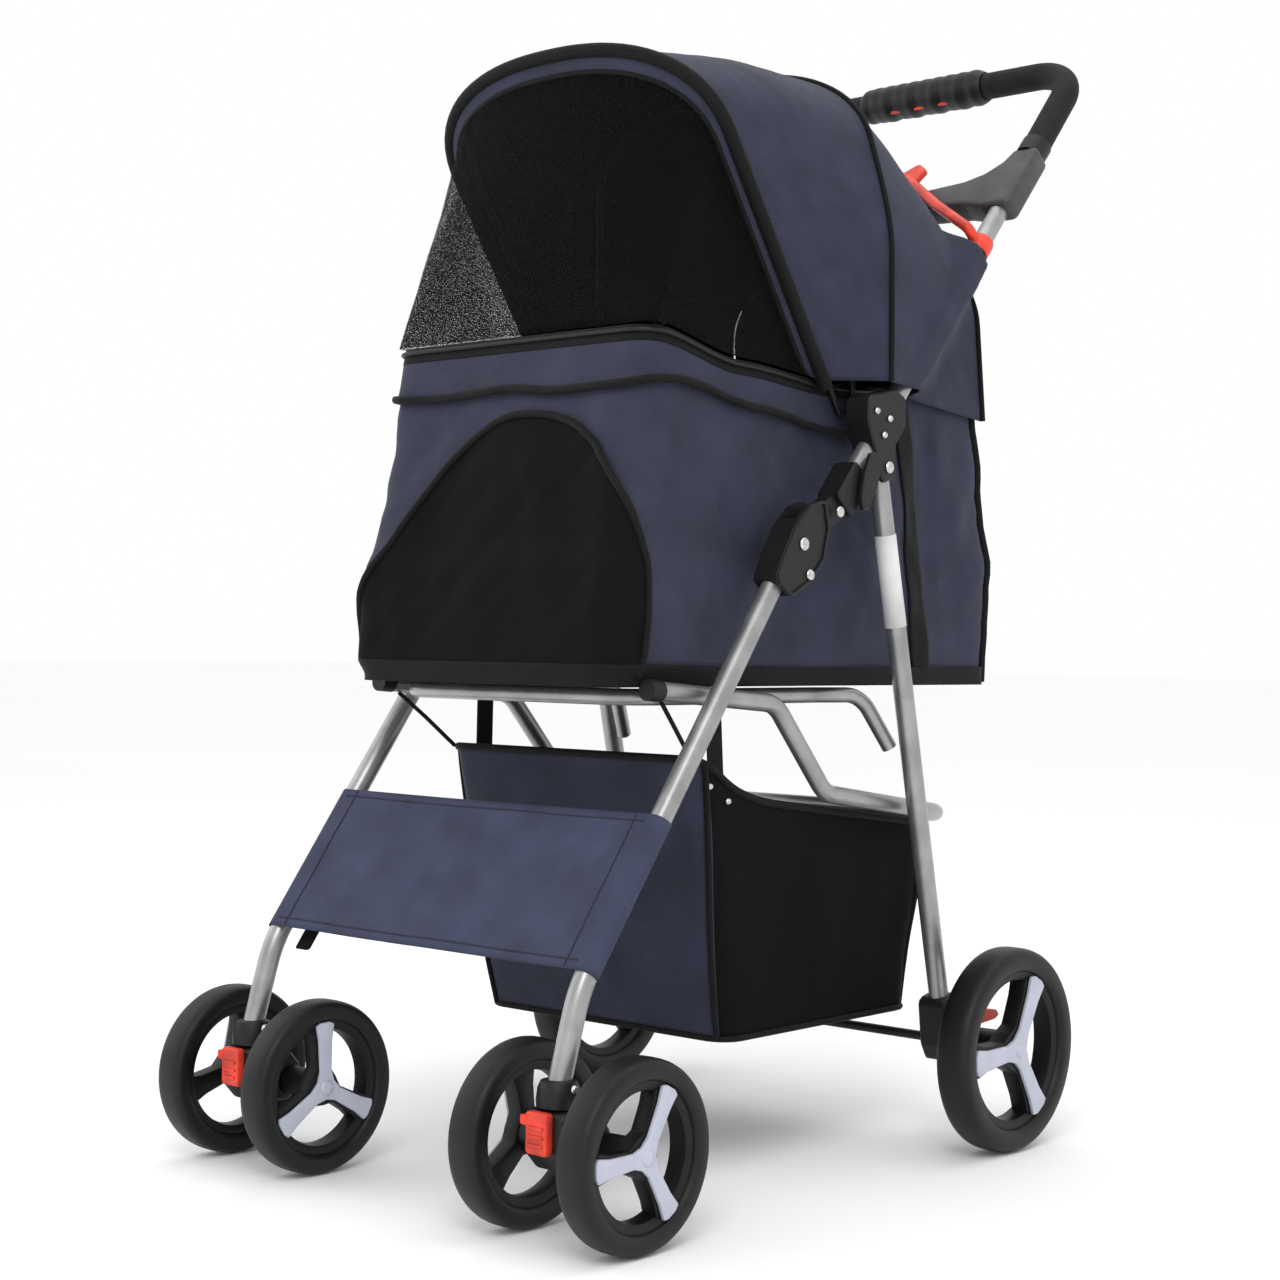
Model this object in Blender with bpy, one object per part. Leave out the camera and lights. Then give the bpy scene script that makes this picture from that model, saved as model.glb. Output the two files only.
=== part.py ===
"""Four-wheel pet stroller: folding frame, twin front casters, cabin, canopy and basket.

Metres, +Z up. The front faces -Y and +X is the stroller's left-hand side seen from behind.
The origin is on the floor, in the middle of the overall length.
"""

import math

import bmesh
import bpy
from mathutils import Matrix, Vector

# ---- driving dimensions -------------------------------------------------------------------
GAP = 0.0003  # clearance between pieces that touch
TUBE_R = 0.0085  # frame tubes
LEG_X = 0.169  # plane of the legs and of the handle tubes
SIDE_X = 0.149  # plane of the basket's side tubes
SIDE_R = 0.0075
FLOOR_X = 0.127  # plane of the floor frame's side rails
FLOOR_R = 0.0065

# pivots of the folding linkage, as (y, z)
FOLD_PIVOT = Vector((0.012, 0.503))  # handle on front leg
REAR_PIVOT = Vector((0.1255, 0.571))  # rear leg on handle
SIDE_PIVOT = Vector((-0.081, 0.385))  # side tube and floor frame on front leg
REAR_AXLE = Vector((0.236, 0.0855))

# front leg
LEG_FOOT = Vector((-0.246, 0.112))
LEG_KNEE = Vector((-0.226, 0.178))
LEG_ANGLE = math.radians(53.8)
CROSS_Z = 0.205  # height of the cross tube between the front legs
CROSS_R = 0.006
TONGUE = 0.012  # thickness of the hinge arm between the bracket's leaves
TONGUE_SWEEP = 0.0145

# casters
CASTER_Y = -0.246
FRONT_R = 0.0685
FRONT_W = 0.028
FRONT_TRAIL = 0.0225
FRONT_SPREAD = 0.0525
SOCKET_R = 0.0155
SOCKET_H = 0.034
SOCKET_Z = 0.098
YOKE_W = 0.040
AXLE_R = 0.004
BORE_R = AXLE_R + 0.0002

# rear wheels
REAR_R = REAR_AXLE.y
REAR_W = 0.032
REAR_X = LEG_X + 0.063  # clear of the brake lever beside the leg
HUB_CLEAR = 0.001  # side clearance of a hub to its fork

# handle
HANDLE_POINT = Vector((0.102, 0.576))  # a point on the handle tubes' axis
HANDLE_ANGLE = math.radians(49.2)
HANDLE_START = -0.045  # along the axis from the point above
HANDLE_END = 0.308
ARM_END = -0.014  # top of the hinge arm's socket
GRIP_R = 0.0125
GRIP_TOP = 0.512  # grip bar, along the axis from the same point
GRIP_X = 0.171
YOKE_TOP = 0.385
HOUSING_HALF = 0.070
HOUSING_R = 0.0170
BAR_TRAVEL = 0.014

# cabin
CABIN_X = 0.138
CABIN_FRONT_LOW = -0.167
CABIN_FRONT_RIM = -0.126
CABIN_REAR_LOW = 0.345
CABIN_REAR_RIM = 0.322
CABIN_FLOOR = 0.393
CABIN_RIM = 0.652
CABIN_WALL = 0.0035
PAD_THICK = 0.022
REAR_PANEL_TOP = 0.778
REAR_PANEL_TOP_Y = 0.306

# canopy
HOOP_R = 0.003
HOOP_X = 0.1435
CANOPY_X = 0.1485
CANOPY_WALL = 0.0025
CANOPY_CORNER = 0.085
FRONT_HOOP_PIVOT = Vector((0.107, 0.616))
FRONT_HOOP_ANGLE = math.radians(124.6)
FRONT_HOOP_TOP = 0.338
REAR_HOOP_PIVOT = Vector((0.125, 0.611))
REAR_HOOP_ANGLE = math.radians(91.0)
REAR_HOOP_TOP = 0.297

# basket
BASKET_X = 0.1375
BASKET_FLOOR = 0.110
BASKET_WALL = 0.003

HANDLE_DIR = Vector((0, math.cos(HANDLE_ANGLE), math.sin(HANDLE_ANGLE)))
HANDLE_NORMAL = Vector((0, -math.sin(HANDLE_ANGLE), math.cos(HANDLE_ANGLE)))
LEG_DIR = Vector((math.cos(LEG_ANGLE), math.sin(LEG_ANGLE)))
SIDES = (("left", 1), ("right", -1))

materials = {}


# ---- helpers ------------------------------------------------------------------------------
def clear_scene():
    for found in list(bpy.data.objects):
        bpy.data.objects.remove(found, do_unlink=True)


def material(name, colour, roughness, metallic=0.0):
    """A Principled material with the piece's colour and gloss."""
    made = bpy.data.materials.new(name)
    made.use_nodes = True
    shader = made.node_tree.nodes["Principled BSDF"]
    shader.inputs["Base Color"].default_value = (*colour, 1.0)
    shader.inputs["Roughness"].default_value = roughness
    shader.inputs["Metallic"].default_value = metallic
    materials[name] = made


def finish_mesh(name, bm, look, origin=(0, 0, 0), sharp=40):
    """Turns a bmesh in world coordinates into an object whose origin is at the given point."""
    bmesh.ops.remove_doubles(bm, verts=bm.verts, dist=1e-6)
    bmesh.ops.recalc_face_normals(bm, faces=bm.faces)
    bmesh.ops.translate(bm, verts=bm.verts, vec=-Vector(origin))
    mesh = bpy.data.meshes.new(name)
    bm.to_mesh(mesh)
    bm.free()
    mesh.materials.append(materials[look])
    mesh.shade_smooth()
    mesh.set_sharp_from_angle(angle=math.radians(sharp))
    made = bpy.data.objects.new(name, mesh)
    made.location = origin
    bpy.context.collection.objects.link(made)
    return made


def filleted(points, radius, steps=4):
    """The points of a path whose inner corners are rounded by arcs."""
    points = [Vector(p) for p in points]
    path = [points[0]]
    for before, corner, after in zip(points, points[1:], points[2:]):
        a = (before - corner).normalized()
        b = (after - corner).normalized()
        half = a.angle(b) / 2
        if half > 1.56:
            path.append(corner)
            continue
        reach = min(radius / math.tan(half), 0.45 * (before - corner).length, 0.45 * (after - corner).length)
        turn = reach * math.tan(half)
        centre = corner + (a + b).normalized() * (turn / math.sin(half))
        start = corner + a * reach - centre
        end = corner + b * reach - centre
        for step in range(steps + 1):
            path.append(centre + start.normalized().slerp(end.normalized(), step / steps) * start.length)
    path.append(points[-1])
    return path


def sweep(bm, path, radius, sides=10):
    """A round bar along a path, closed at both ends."""
    path = [Vector(p) for p in path]
    rings = []
    across = None
    for i, point in enumerate(path):
        ahead = (path[min(i + 1, len(path) - 1)] - point).normalized()
        behind = (point - path[max(i - 1, 0)]).normalized()
        tangent = (ahead + behind).normalized()
        if across is None:
            across = tangent.orthogonal().normalized()
        across = (across - tangent * across.dot(tangent)).normalized()
        other = tangent.cross(across)
        lean = max(tangent.dot(ahead if ahead.length else behind), 0.5)
        ring = []
        for k in range(sides):
            angle = 2 * math.pi * k / sides
            stretch = 1 if i in (0, len(path) - 1) else 1 / lean ** 0.5
            ring.append(bm.verts.new(point + radius * stretch * (math.cos(angle) * across + math.sin(angle) * other)))
        rings.append(ring)
    for low, high in zip(rings, rings[1:]):
        for k in range(sides):
            bm.faces.new((low[k], low[(k + 1) % sides], high[(k + 1) % sides], high[k]))
    bm.faces.new(rings[0])
    bm.faces.new(rings[-1])


def tube(name, path, radius, look, origin=(0, 0, 0), sides=10):
    bm = bmesh.new()
    sweep(bm, path, radius, sides)
    return finish_mesh(name, bm, look, origin)


def on_side(sign, x, yz):
    return Vector((sign * x, yz[0], yz[1]))


def plate(bm, outline, x_low, x_high, bevel=0.0):
    """A flat plate: a (y, z) outline, from x_low to x_high."""
    x_low, x_high = sorted((x_low, x_high))
    face = bm.faces.new([bm.verts.new((x_low, y, z)) for y, z in outline])
    grown = bmesh.ops.extrude_face_region(bm, geom=[face])
    moved = [v for v in grown["geom"] if isinstance(v, bmesh.types.BMVert)]
    bmesh.ops.translate(bm, verts=moved, vec=(x_high - x_low, 0, 0))
    bmesh.ops.recalc_face_normals(bm, faces=bm.faces)
    if bevel:
        rim = [e for e in bm.edges if abs(e.verts[0].co.x - e.verts[1].co.x) < 1e-7]
        bmesh.ops.bevel(bm, geom=rim, offset=bevel, segments=1, profile=0.5, affect="EDGES")


def rounded_outline(points, radius, steps=3):
    """A closed (y, z) outline with its corners rounded."""
    count = len(points)
    closed = []
    for i in range(count):
        before, corner, after = (Vector(points[(i + d) % count]) for d in (-1, 0, 1))
        mid_a = (before + corner) / 2
        mid_b = (after + corner) / 2
        corner_path = filleted([(*mid_a, 0), (*corner, 0), (*mid_b, 0)], radius, steps)
        closed += [(p.x, p.y) for p in corner_path[1:-1]]
    return closed


def disc(bm, centre, radius, x_low, x_high, sides=24):
    """A cylinder along X."""
    made = bmesh.ops.create_cone(bm, cap_ends=True, segments=sides, radius1=radius, radius2=radius,
                                 depth=abs(x_high - x_low))
    turn = Matrix.Rotation(math.pi / 2, 4, "Y")
    place = Matrix.Translation(((x_low + x_high) / 2, centre[0], centre[1]))
    bmesh.ops.transform(bm, matrix=place @ turn, verts=made["verts"])


def cutter(name, bm):
    bmesh.ops.recalc_face_normals(bm, faces=bm.faces)
    mesh = bpy.data.meshes.new(name)
    bm.to_mesh(mesh)
    bm.free()
    made = bpy.data.objects.new(name, mesh)
    made.hide_render = True
    made.display_type = "WIRE"
    bpy.context.collection.objects.link(made)
    return made


def combine(target, tool, operation="DIFFERENCE"):
    change = target.modifiers.new(operation.title(), "BOOLEAN")
    change.operation = operation
    change.solver = "EXACT"
    change.object = tool


def box(bm, low, high):
    made = bmesh.ops.create_cube(bm, size=1)
    size = Vector(high) - Vector(low)
    bmesh.ops.scale(bm, vec=size, verts=made["verts"])
    bmesh.ops.translate(bm, vec=(Vector(high) + Vector(low)) / 2, verts=made["verts"])
    return made["verts"]


def along_handle(distance, x=0.0, lift=0.0):
    """A point by its distance along the handle's axis and its lift off the handle's plane."""
    return Vector((x, *HANDLE_POINT)) + HANDLE_DIR * distance + HANDLE_NORMAL * lift


# ---- wheels -------------------------------------------------------------------------------
def ring_solid(name, profile, centre, look, steps=24):
    """A closed ring turned around an axis along X; the profile holds (x, radius) points.

    The facets are set so that one lies flat at the bottom, at the profile's own radius.
    """
    bm = bmesh.new()
    half_step = math.pi / steps
    reach = 1 / math.cos(half_step)
    outline = []
    for x, radius in profile:
        across = radius * reach
        outline.append(bm.verts.new((x, across * math.sin(half_step), across * math.cos(half_step))))
    edges = [bm.edges.new((a, b)) for a, b in zip(outline, outline[1:] + outline[:1])]
    bmesh.ops.spin(bm, geom=outline + edges, cent=(0, 0, 0), axis=(1, 0, 0), angle=2 * math.pi,
                   steps=steps, use_merge=True)
    bmesh.ops.translate(bm, verts=bm.verts, vec=centre)
    return finish_mesh(name, bm, look, centre, sharp=50)


def wheel(prefix, centre, radius, width, outward, hub_reach):
    """A tyre on a three-spoke rim. hub_reach is how far the hub stands towards its fork."""
    half = width / 2
    seat = 0.70 * radius
    tyre = [(-half * 0.80, seat), (-half, seat + 0.006), (-half, radius - 0.009), (-half * 0.60, radius), (half * 0.60, radius),
            (half, radius - 0.009), (half, seat + 0.006), (half * 0.80, seat)]
    ring_solid(prefix + "_tyre", tyre, centre, "tyre")

    rim_r = seat - GAP
    inner = rim_r - 0.006
    hub = 0.016 if radius < 0.08 else 0.019
    deep = half * 0.80
    face = half * 0.45
    outside = [(-deep, rim_r), (-deep, inner), (-face, inner - 0.003), (-face, hub), (-deep * 0.9, hub - 0.003),
               (-deep * 0.9, BORE_R), (deep * 0.9, BORE_R), (deep * 0.9, hub - 0.003), (face, hub),
               (face, inner - 0.003), (deep, inner), (deep, rim_r)]
    shifted = []
    for x, r in outside:
        reach = x
        if r < hub - 0.002 and x * outward < 0:
            reach = -outward * hub_reach
        shifted.append((reach, r))
    rim = ring_solid(prefix + "_rim", shifted, centre, "rim_plastic")

    for k in range(3):
        middle = math.radians(90 + 60 + 120 * k)
        corners = []
        for reach, spread in ((hub + 0.002, 24), (inner - 0.005, 37), (inner - 0.005, -37), (hub + 0.002, -24)):
            angle = middle + math.radians(spread)
            corners.append((centre[1] + reach * math.cos(angle), centre[2] + reach * math.sin(angle)))
        bm = bmesh.new()
        plate(bm, rounded_outline(corners, 0.004, 2), centre[0] - width, centre[0] + width)
        combine(rim, cutter(f"{prefix}_opening_{k}", bm))


# ---- front frame --------------------------------------------------------------------------
def leg_point(z):
    """The front leg's axis above its knee, at a given height."""
    return Vector((LEG_KNEE.x + (z - LEG_KNEE.y) / math.tan(LEG_ANGLE), z))


def front_frame():
    leg_top = FOLD_PIVOT - LEG_DIR * 0.026
    for side, sign in SIDES:
        path = filleted([on_side(sign, LEG_X, LEG_FOOT), on_side(sign, LEG_X, LEG_KNEE),
                         on_side(sign, LEG_X, leg_top)], 0.10, 5)
        tube(side + "_front_leg", path, TUBE_R, "tube_paint")

        leaf = []
        across = Vector((-LEG_DIR.y, LEG_DIR.x))
        for along, wide in ((-0.044, -0.012), (-0.020, -0.024), (0.006, -0.028), (0.030, -0.018),
                            (0.045, 0.000), (0.030, 0.012), (0.004, 0.017), (-0.022, 0.015), (-0.044, 0.011)):
            leaf.append(FOLD_PIVOT + LEG_DIR * along + across * wide)
        bm = bmesh.new()
        plate(bm, rounded_outline(leaf, 0.008, 2), sign * (LEG_X - 0.0125), sign * (LEG_X + 0.0125), 0.0015)
        bracket = finish_mesh(side + "_fold_bracket", bm, "black_plastic", on_side(sign, LEG_X, FOLD_PIVOT))
        bm = bmesh.new()
        sweep(bm, [on_side(sign, LEG_X, FOLD_PIVOT - LEG_DIR * 0.070), on_side(sign, LEG_X, leg_top + LEG_DIR * GAP)],
              TUBE_R + GAP, 10)
        combine(bracket, cutter(side + "_leg_bore", bm))
        slot = []
        for k in range(8):
            angle = math.radians(100 + 135 * k / 7)
            slot.append(FOLD_PIVOT + Vector((math.cos(angle), math.sin(angle))) * TONGUE_SWEEP)
        for angle, reach in ((-109, 0.0265), (-103, 0.09), (-60, 0.09), (-15, 0.09), (30, 0.09), (70, 0.09),
                             (100, 0.09)):
            turned = math.radians(angle)
            slot.append(FOLD_PIVOT + Vector((math.cos(turned), math.sin(turned))) * reach)
        bm = bmesh.new()
        plate(bm, slot, sign * LEG_X - TONGUE / 2 - GAP, sign * LEG_X + TONGUE / 2 + GAP)
        combine(bracket, cutter(side + "_tongue_slot", bm))
        bm = bmesh.new()
        disc(bm, FOLD_PIVOT, 0.0040 + GAP, sign * LEG_X - 0.03, sign * LEG_X + 0.03, 16)
        combine(bracket, cutter(side + "_pivot_bore", bm))
        bm = bmesh.new()
        disc(bm, FOLD_PIVOT, 0.0040, sign * (LEG_X - 0.0122), sign * (LEG_X + 0.0135), 16)
        finish_mesh(side + "_fold_pin", bm, "rivet_steel", on_side(sign, LEG_X, FOLD_PIVOT))

        bm = bmesh.new()
        made = bmesh.ops.create_cone(bm, cap_ends=True, segments=20, radius1=SOCKET_R, radius2=SOCKET_R * 0.86,
                                     depth=SOCKET_H)
        bmesh.ops.translate(bm, verts=made["verts"], vec=(sign * LEG_X, CASTER_Y, SOCKET_Z + SOCKET_H / 2))
        socket = finish_mesh(side + "_caster_socket", bm, "black_plastic")
        bm = bmesh.new()
        along = (LEG_KNEE - LEG_FOOT).normalized()
        sweep(bm, [on_side(sign, LEG_X, LEG_FOOT - along * GAP), on_side(sign, LEG_X, LEG_FOOT + along * 0.05)],
              TUBE_R + GAP, 10)
        combine(socket, cutter(side + "_socket_bore", bm))

    cross = leg_point(CROSS_Z)
    inner = LEG_X - TUBE_R - GAP
    tube("front_cross_tube", [(-inner, *cross), (inner, *cross)], CROSS_R, "tube_paint", sides=10)


def banner():
    """The fabric panel stretched between the front legs, its side hems wrapped on the tubes."""
    low, high = 0.186, 0.293
    reach = LEG_X + TUBE_R + 0.0025
    bm = bmesh.new()
    front = -TUBE_R - 0.0028
    back = -TUBE_R - GAP
    hem_back = TUBE_R + 0.0022
    inner = LEG_X - TUBE_R - 0.0025
    across = [(-reach, front), (reach, front), (reach, hem_back), (inner, hem_back), (inner, back),
              (-inner, back), (-inner, hem_back), (-reach, hem_back)]
    rings = []
    normal = Vector((LEG_DIR.y, -LEG_DIR.x))
    for z in (low, high):
        middle = leg_point(z)
        rings.append([bm.verts.new((x, *(middle + normal * -d))) for x, d in across])
    count = len(across)
    for k in range(count):
        bm.faces.new((rings[0][k], rings[0][(k + 1) % count], rings[1][(k + 1) % count], rings[1][k]))
    bm.faces.new(rings[0])
    bm.faces.new(rings[1])
    made = finish_mesh("front_banner", bm, "navy_fabric")
    for side, sign in SIDES:
        bm = bmesh.new()
        path = filleted([on_side(sign, LEG_X, LEG_FOOT), on_side(sign, LEG_X, LEG_KNEE),
                         on_side(sign, LEG_X, FOLD_PIVOT)], 0.10, 5)
        sweep(bm, path, TUBE_R + GAP, 10)
        combine(made, cutter(side + "_hem_bore", bm))
    bm = bmesh.new()
    cross = leg_point(CROSS_Z)
    sweep(bm, [(-LEG_X, *cross), (LEG_X, *cross)], CROSS_R + GAP, 10)
    combine(made, cutter("cross_tube_bore", bm))


def casters():
    axle_y = CASTER_Y + FRONT_TRAIL
    for side, sign in SIDES:
        x = sign * LEG_X
        half = YOKE_W / 2
        profile = [(CASTER_Y - 0.015, SOCKET_Z - 0.001), (CASTER_Y - 0.015, 0.062), (CASTER_Y + 0.010, 0.052),
                   (axle_y + 0.012, 0.058), (axle_y + 0.013, 0.076), (CASTER_Y + 0.022, SOCKET_Z - 0.001)]
        bm = bmesh.new()
        plate(bm, rounded_outline(profile, 0.005, 2), x - half, x + half, 0.003)
        yoke = finish_mesh(side + "_caster_yoke", bm, "black_plastic", (x, CASTER_Y, 0.0))
        bm = bmesh.new()
        disc(bm, (axle_y, FRONT_R), AXLE_R + GAP, x - half - 0.01, x + half + 0.01, 16)
        combine(yoke, cutter(side + "_yoke_bore", bm))
        bm = bmesh.new()
        reach = FRONT_SPREAD + FRONT_W / 2 - 0.003
        disc(bm, (axle_y, FRONT_R), AXLE_R, x - reach, x + reach, 16)
        finish_mesh(side + "_caster_axle", bm, "rivet_steel", (x, axle_y, FRONT_R))

        bm = bmesh.new()
        front = CASTER_Y - 0.015 - GAP
        outline = [(front, 0.068), (front, 0.094), (front - 0.005, 0.0965), (front - 0.009, 0.092),
                   (front - 0.008, 0.070), (front - 0.005, 0.067)]
        plate(bm, outline, x - 0.0105, x + 0.0105, 0.001)
        finish_mesh(side + "_swivel_lock", bm, "red_plastic", (x, front, 0.080))

        for place, way in (("outer", sign), ("inner", -sign)):
            centre = Vector((x + way * FRONT_SPREAD, axle_y, FRONT_R))
            wheel(f"{side}_front_{place}", centre, FRONT_R, FRONT_W, way, FRONT_SPREAD - half - HUB_CLEAR)


# ---- rear legs ----------------------------------------------------------------------------
def rear_legs():
    down = (REAR_AXLE - REAR_PIVOT).normalized()
    for side, sign in SIDES:
        x = sign * LEG_X
        foot = REAR_AXLE - down * 0.018
        tube(side + "_rear_leg", [on_side(sign, LEG_X, REAR_PIVOT - down * 0.006), on_side(sign, LEG_X, foot)],
             TUBE_R, "tube_paint", on_side(sign, LEG_X, REAR_PIVOT))

        ahead = Vector((-down.y, down.x))
        outline = []
        for along, wide in ((-0.040, -0.013), (-0.040, 0.013), (-0.004, 0.026), (0.014, 0.018), (0.016, -0.012),
                            (0.0, -0.017)):
            outline.append(REAR_AXLE + down * along + ahead * wide)
        half = 0.0135
        bm = bmesh.new()
        plate(bm, rounded_outline(outline, 0.007, 2), x - half, x + half, 0.002)
        housing = finish_mesh(side + "_brake_housing", bm, "black_plastic", on_side(sign, LEG_X, REAR_AXLE))
        bm = bmesh.new()
        sweep(bm, [on_side(sign, LEG_X, REAR_PIVOT), on_side(sign, LEG_X, foot + down * GAP)], TUBE_R + GAP, 10)
        combine(housing, cutter(side + "_rear_leg_bore", bm))
        bm = bmesh.new()
        disc(bm, REAR_AXLE, AXLE_R + GAP, x - 0.03, x + 0.03, 16)
        combine(housing, cutter(side + "_rear_axle_bore", bm))

        centre = Vector((sign * REAR_X, *REAR_AXLE))
        wheel(side + "_rear", centre, REAR_R, REAR_W, sign, REAR_X - LEG_X - half - 0.008 - HUB_CLEAR)

        pedal_pivot = brake_pivot()
        outline = [pedal_pivot + Vector(p) for p in ((-0.008, 0.004), (0.004, 0.009), (0.036, 0.004),
                                                      (0.040, -0.001), (0.034, -0.004), (0.004, -0.006),
                                                      (-0.007, -0.005))]
        bm = bmesh.new()
        plate(bm, rounded_outline(outline, 0.002, 1), sign * (LEG_X + half + GAP),
              sign * (LEG_X + half + 0.0075), 0.0008)
        finish_mesh(side + "_brake_lever", bm, "red_plastic", on_side(sign, LEG_X, pedal_pivot))
    bm = bmesh.new()
    reach = REAR_X + REAR_W / 2 - 0.004
    disc(bm, REAR_AXLE, AXLE_R, -reach, reach, 16)
    finish_mesh("rear_axle", bm, "rivet_steel", (0, *REAR_AXLE))


def brake_pivot():
    return REAR_AXLE + Vector((0.016, 0.018))


# ---- side tubes, basket, floor frame ------------------------------------------------------
def side_tube_points():
    return [Vector((-0.133, 0.3885)), Vector((0.019, 0.377)), Vector((0.087, 0.3025)), Vector((0.268, 0.277))]


def basket_frame():
    """One tube bent round behind: pivots on both front legs, crosses behind the basket."""
    one_side = [on_side(1, SIDE_X, p) for p in side_tube_points()]
    other_side = [on_side(-1, SIDE_X, p) for p in side_tube_points()]
    path = filleted(one_side + other_side[::-1], 0.030, 4)
    tube("basket_tube", path, SIDE_R, "tube_paint", (0, *SIDE_PIVOT))


def basket_rim(y):
    """The basket's sagging top edge."""
    return 0.300 + 0.034 * math.exp(-((y + 0.066) / 0.045) ** 2) - 0.045 * max(y, 0) / 0.25


def open_tub(name, look, low_ring, rim_ring, wall):
    """A tub with an open top, lofted from its floor outline to its rim and given a wall inwards."""
    bm = bmesh.new()
    low = [bm.verts.new(p) for p in low_ring]
    high = [bm.verts.new(p) for p in rim_ring]
    count = len(low)
    for k in range(count):
        bm.faces.new((low[k], low[(k + 1) % count], high[(k + 1) % count], high[k]))
    bm.faces.new(low)
    bmesh.ops.recalc_face_normals(bm, faces=bm.faces)
    probe = bm.faces[-1]
    if probe.normal.z > 0:
        bmesh.ops.reverse_faces(bm, faces=bm.faces)
    made = finish_open(name, bm, look)
    wall_change = made.modifiers.new("Wall", "SOLIDIFY")
    wall_change.thickness = wall
    wall_change.offset = -1
    wall_change.use_even_offset = True
    return made


def finish_open(name, bm, look):
    """As finish_mesh, for a sheet whose faces already point the right way."""
    mesh = bpy.data.meshes.new(name)
    bm.to_mesh(mesh)
    bm.free()
    mesh.materials.append(materials[look])
    mesh.shade_smooth()
    mesh.set_sharp_from_angle(angle=math.radians(50))
    made = bpy.data.objects.new(name, mesh)
    bpy.context.collection.objects.link(made)
    return made


def ring_of(front, rear, half, corner, height, steps=3):
    """A rectangle with round corners; height gives z at each (x, y)."""
    outline = rounded_outline([(-half, front), (half, front), (half, rear), (-half, rear)], corner, steps)
    return [Vector((x, y, height(y))) for x, y in outline]


def basket():
    low = ring_of(-0.018, 0.236, BASKET_X - 0.004, 0.022, lambda y: BASKET_FLOOR)
    high = ring_of(-0.066, 0.2475, BASKET_X, 0.022, basket_rim)
    open_tub("basket", "navy_fabric", low, high, BASKET_WALL)


def seat_frame():
    front = -0.128
    lift = 0.3825
    corner = Vector((0.148, 0.3825))
    for_side = []
    for _, sign in SIDES:
        end = Vector((sign * 0.1515, 0.1745, 0.338))
        for_side.append([end, Vector((sign * (FLOOR_X + 0.012), *corner)), Vector((sign * FLOOR_X, 0.10, lift)),
                         Vector((sign * FLOOR_X, front, lift))])
    path = filleted(for_side[0] + for_side[1][::-1], 0.028, 3)
    tube("floor_frame", path, FLOOR_R, "tube_paint", (0, *SIDE_PIVOT), sides=8)


def cabin():
    low = ring_of(CABIN_FRONT_LOW, CABIN_REAR_LOW, CABIN_X, 0.018, lambda y: CABIN_FLOOR)
    high = ring_of(CABIN_FRONT_RIM, CABIN_REAR_RIM, CABIN_X, 0.018, lambda y: CABIN_RIM)
    open_tub("cabin", "navy_fabric", low, high, CABIN_WALL)

    inset = CABIN_WALL + 0.006
    pad_low = CABIN_FLOOR + CABIN_WALL + GAP
    bm = bmesh.new()
    half = CABIN_X - inset
    front = CABIN_FRONT_LOW + inset + 0.006
    rear = CABIN_REAR_LOW - inset - 0.004
    outline = rounded_outline([(-half, front), (half, front), (half, rear), (-half, rear)], 0.02, 3)
    face = bm.faces.new([bm.verts.new((x, y, pad_low)) for x, y in outline])
    grown = bmesh.ops.extrude_face_region(bm, geom=[face])
    moved = [v for v in grown["geom"] if isinstance(v, bmesh.types.BMVert)]
    bmesh.ops.translate(bm, verts=moved, vec=(0, 0, PAD_THICK))
    finish_mesh("cabin_pad", bm, "black_fabric")


def rear_panel():
    """The fabric panel that closes the cabin behind, between the handle tubes."""
    low_z = CABIN_RIM + 0.002
    slope = (CABIN_REAR_RIM - REAR_PANEL_TOP_Y) / (REAR_PANEL_TOP - CABIN_RIM)
    half = [(CABIN_X, low_z), (CABIN_X, REAR_PANEL_TOP - 0.062), (CABIN_X - 0.009, REAR_PANEL_TOP - 0.024),
            (CABIN_X - 0.036, REAR_PANEL_TOP)]
    outline = half + [(-x, z) for x, z in half[::-1]]
    bm = bmesh.new()
    verts = [bm.verts.new((x, CABIN_REAR_RIM - slope * (z - CABIN_RIM), z)) for x, z in outline]
    grown = bmesh.ops.extrude_face_region(bm, geom=[bm.faces.new(verts)])
    moved = [v for v in grown["geom"] if isinstance(v, bmesh.types.BMVert)]
    bmesh.ops.translate(bm, verts=moved, vec=(0, -0.003, 0))
    finish_mesh("rear_panel", bm, "navy_fabric")


# ---- canopy -------------------------------------------------------------------------------
def arch(half, top, corner, steps):
    """Half-width and height of a hoop as (x, s) points, from one foot to the other."""
    points = filleted([(half, 0.0, 0), (half, top - 0.004, 0), (0, top + 0.004, 0), (-half, top - 0.004, 0),
                       (-half, 0.0, 0)], corner, steps)
    return [(p.x, p.y) for p in points]


def arch_at(half, top, corner, count):
    """The arch resampled at equal shares of its length, so that two arches can be joined."""
    points = [Vector(p) for p in arch(half, top, corner, 8)]
    lengths = [0.0]
    for a, b in zip(points, points[1:]):
        lengths.append(lengths[-1] + (b - a).length)
    found = []
    for k in range(count + 1):
        want = lengths[-1] * k / count
        i = max(j for j in range(len(lengths) - 1) if lengths[j] <= want + 1e-9)
        share = (want - lengths[i]) / max(lengths[i + 1] - lengths[i], 1e-9)
        found.append(points[i].lerp(points[i + 1], min(share, 1)))
    return found


def in_hoop_plane(pivot, angle, x, s):
    return Vector((x, pivot.x + s * math.cos(angle), pivot.y + s * math.sin(angle)))


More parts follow.
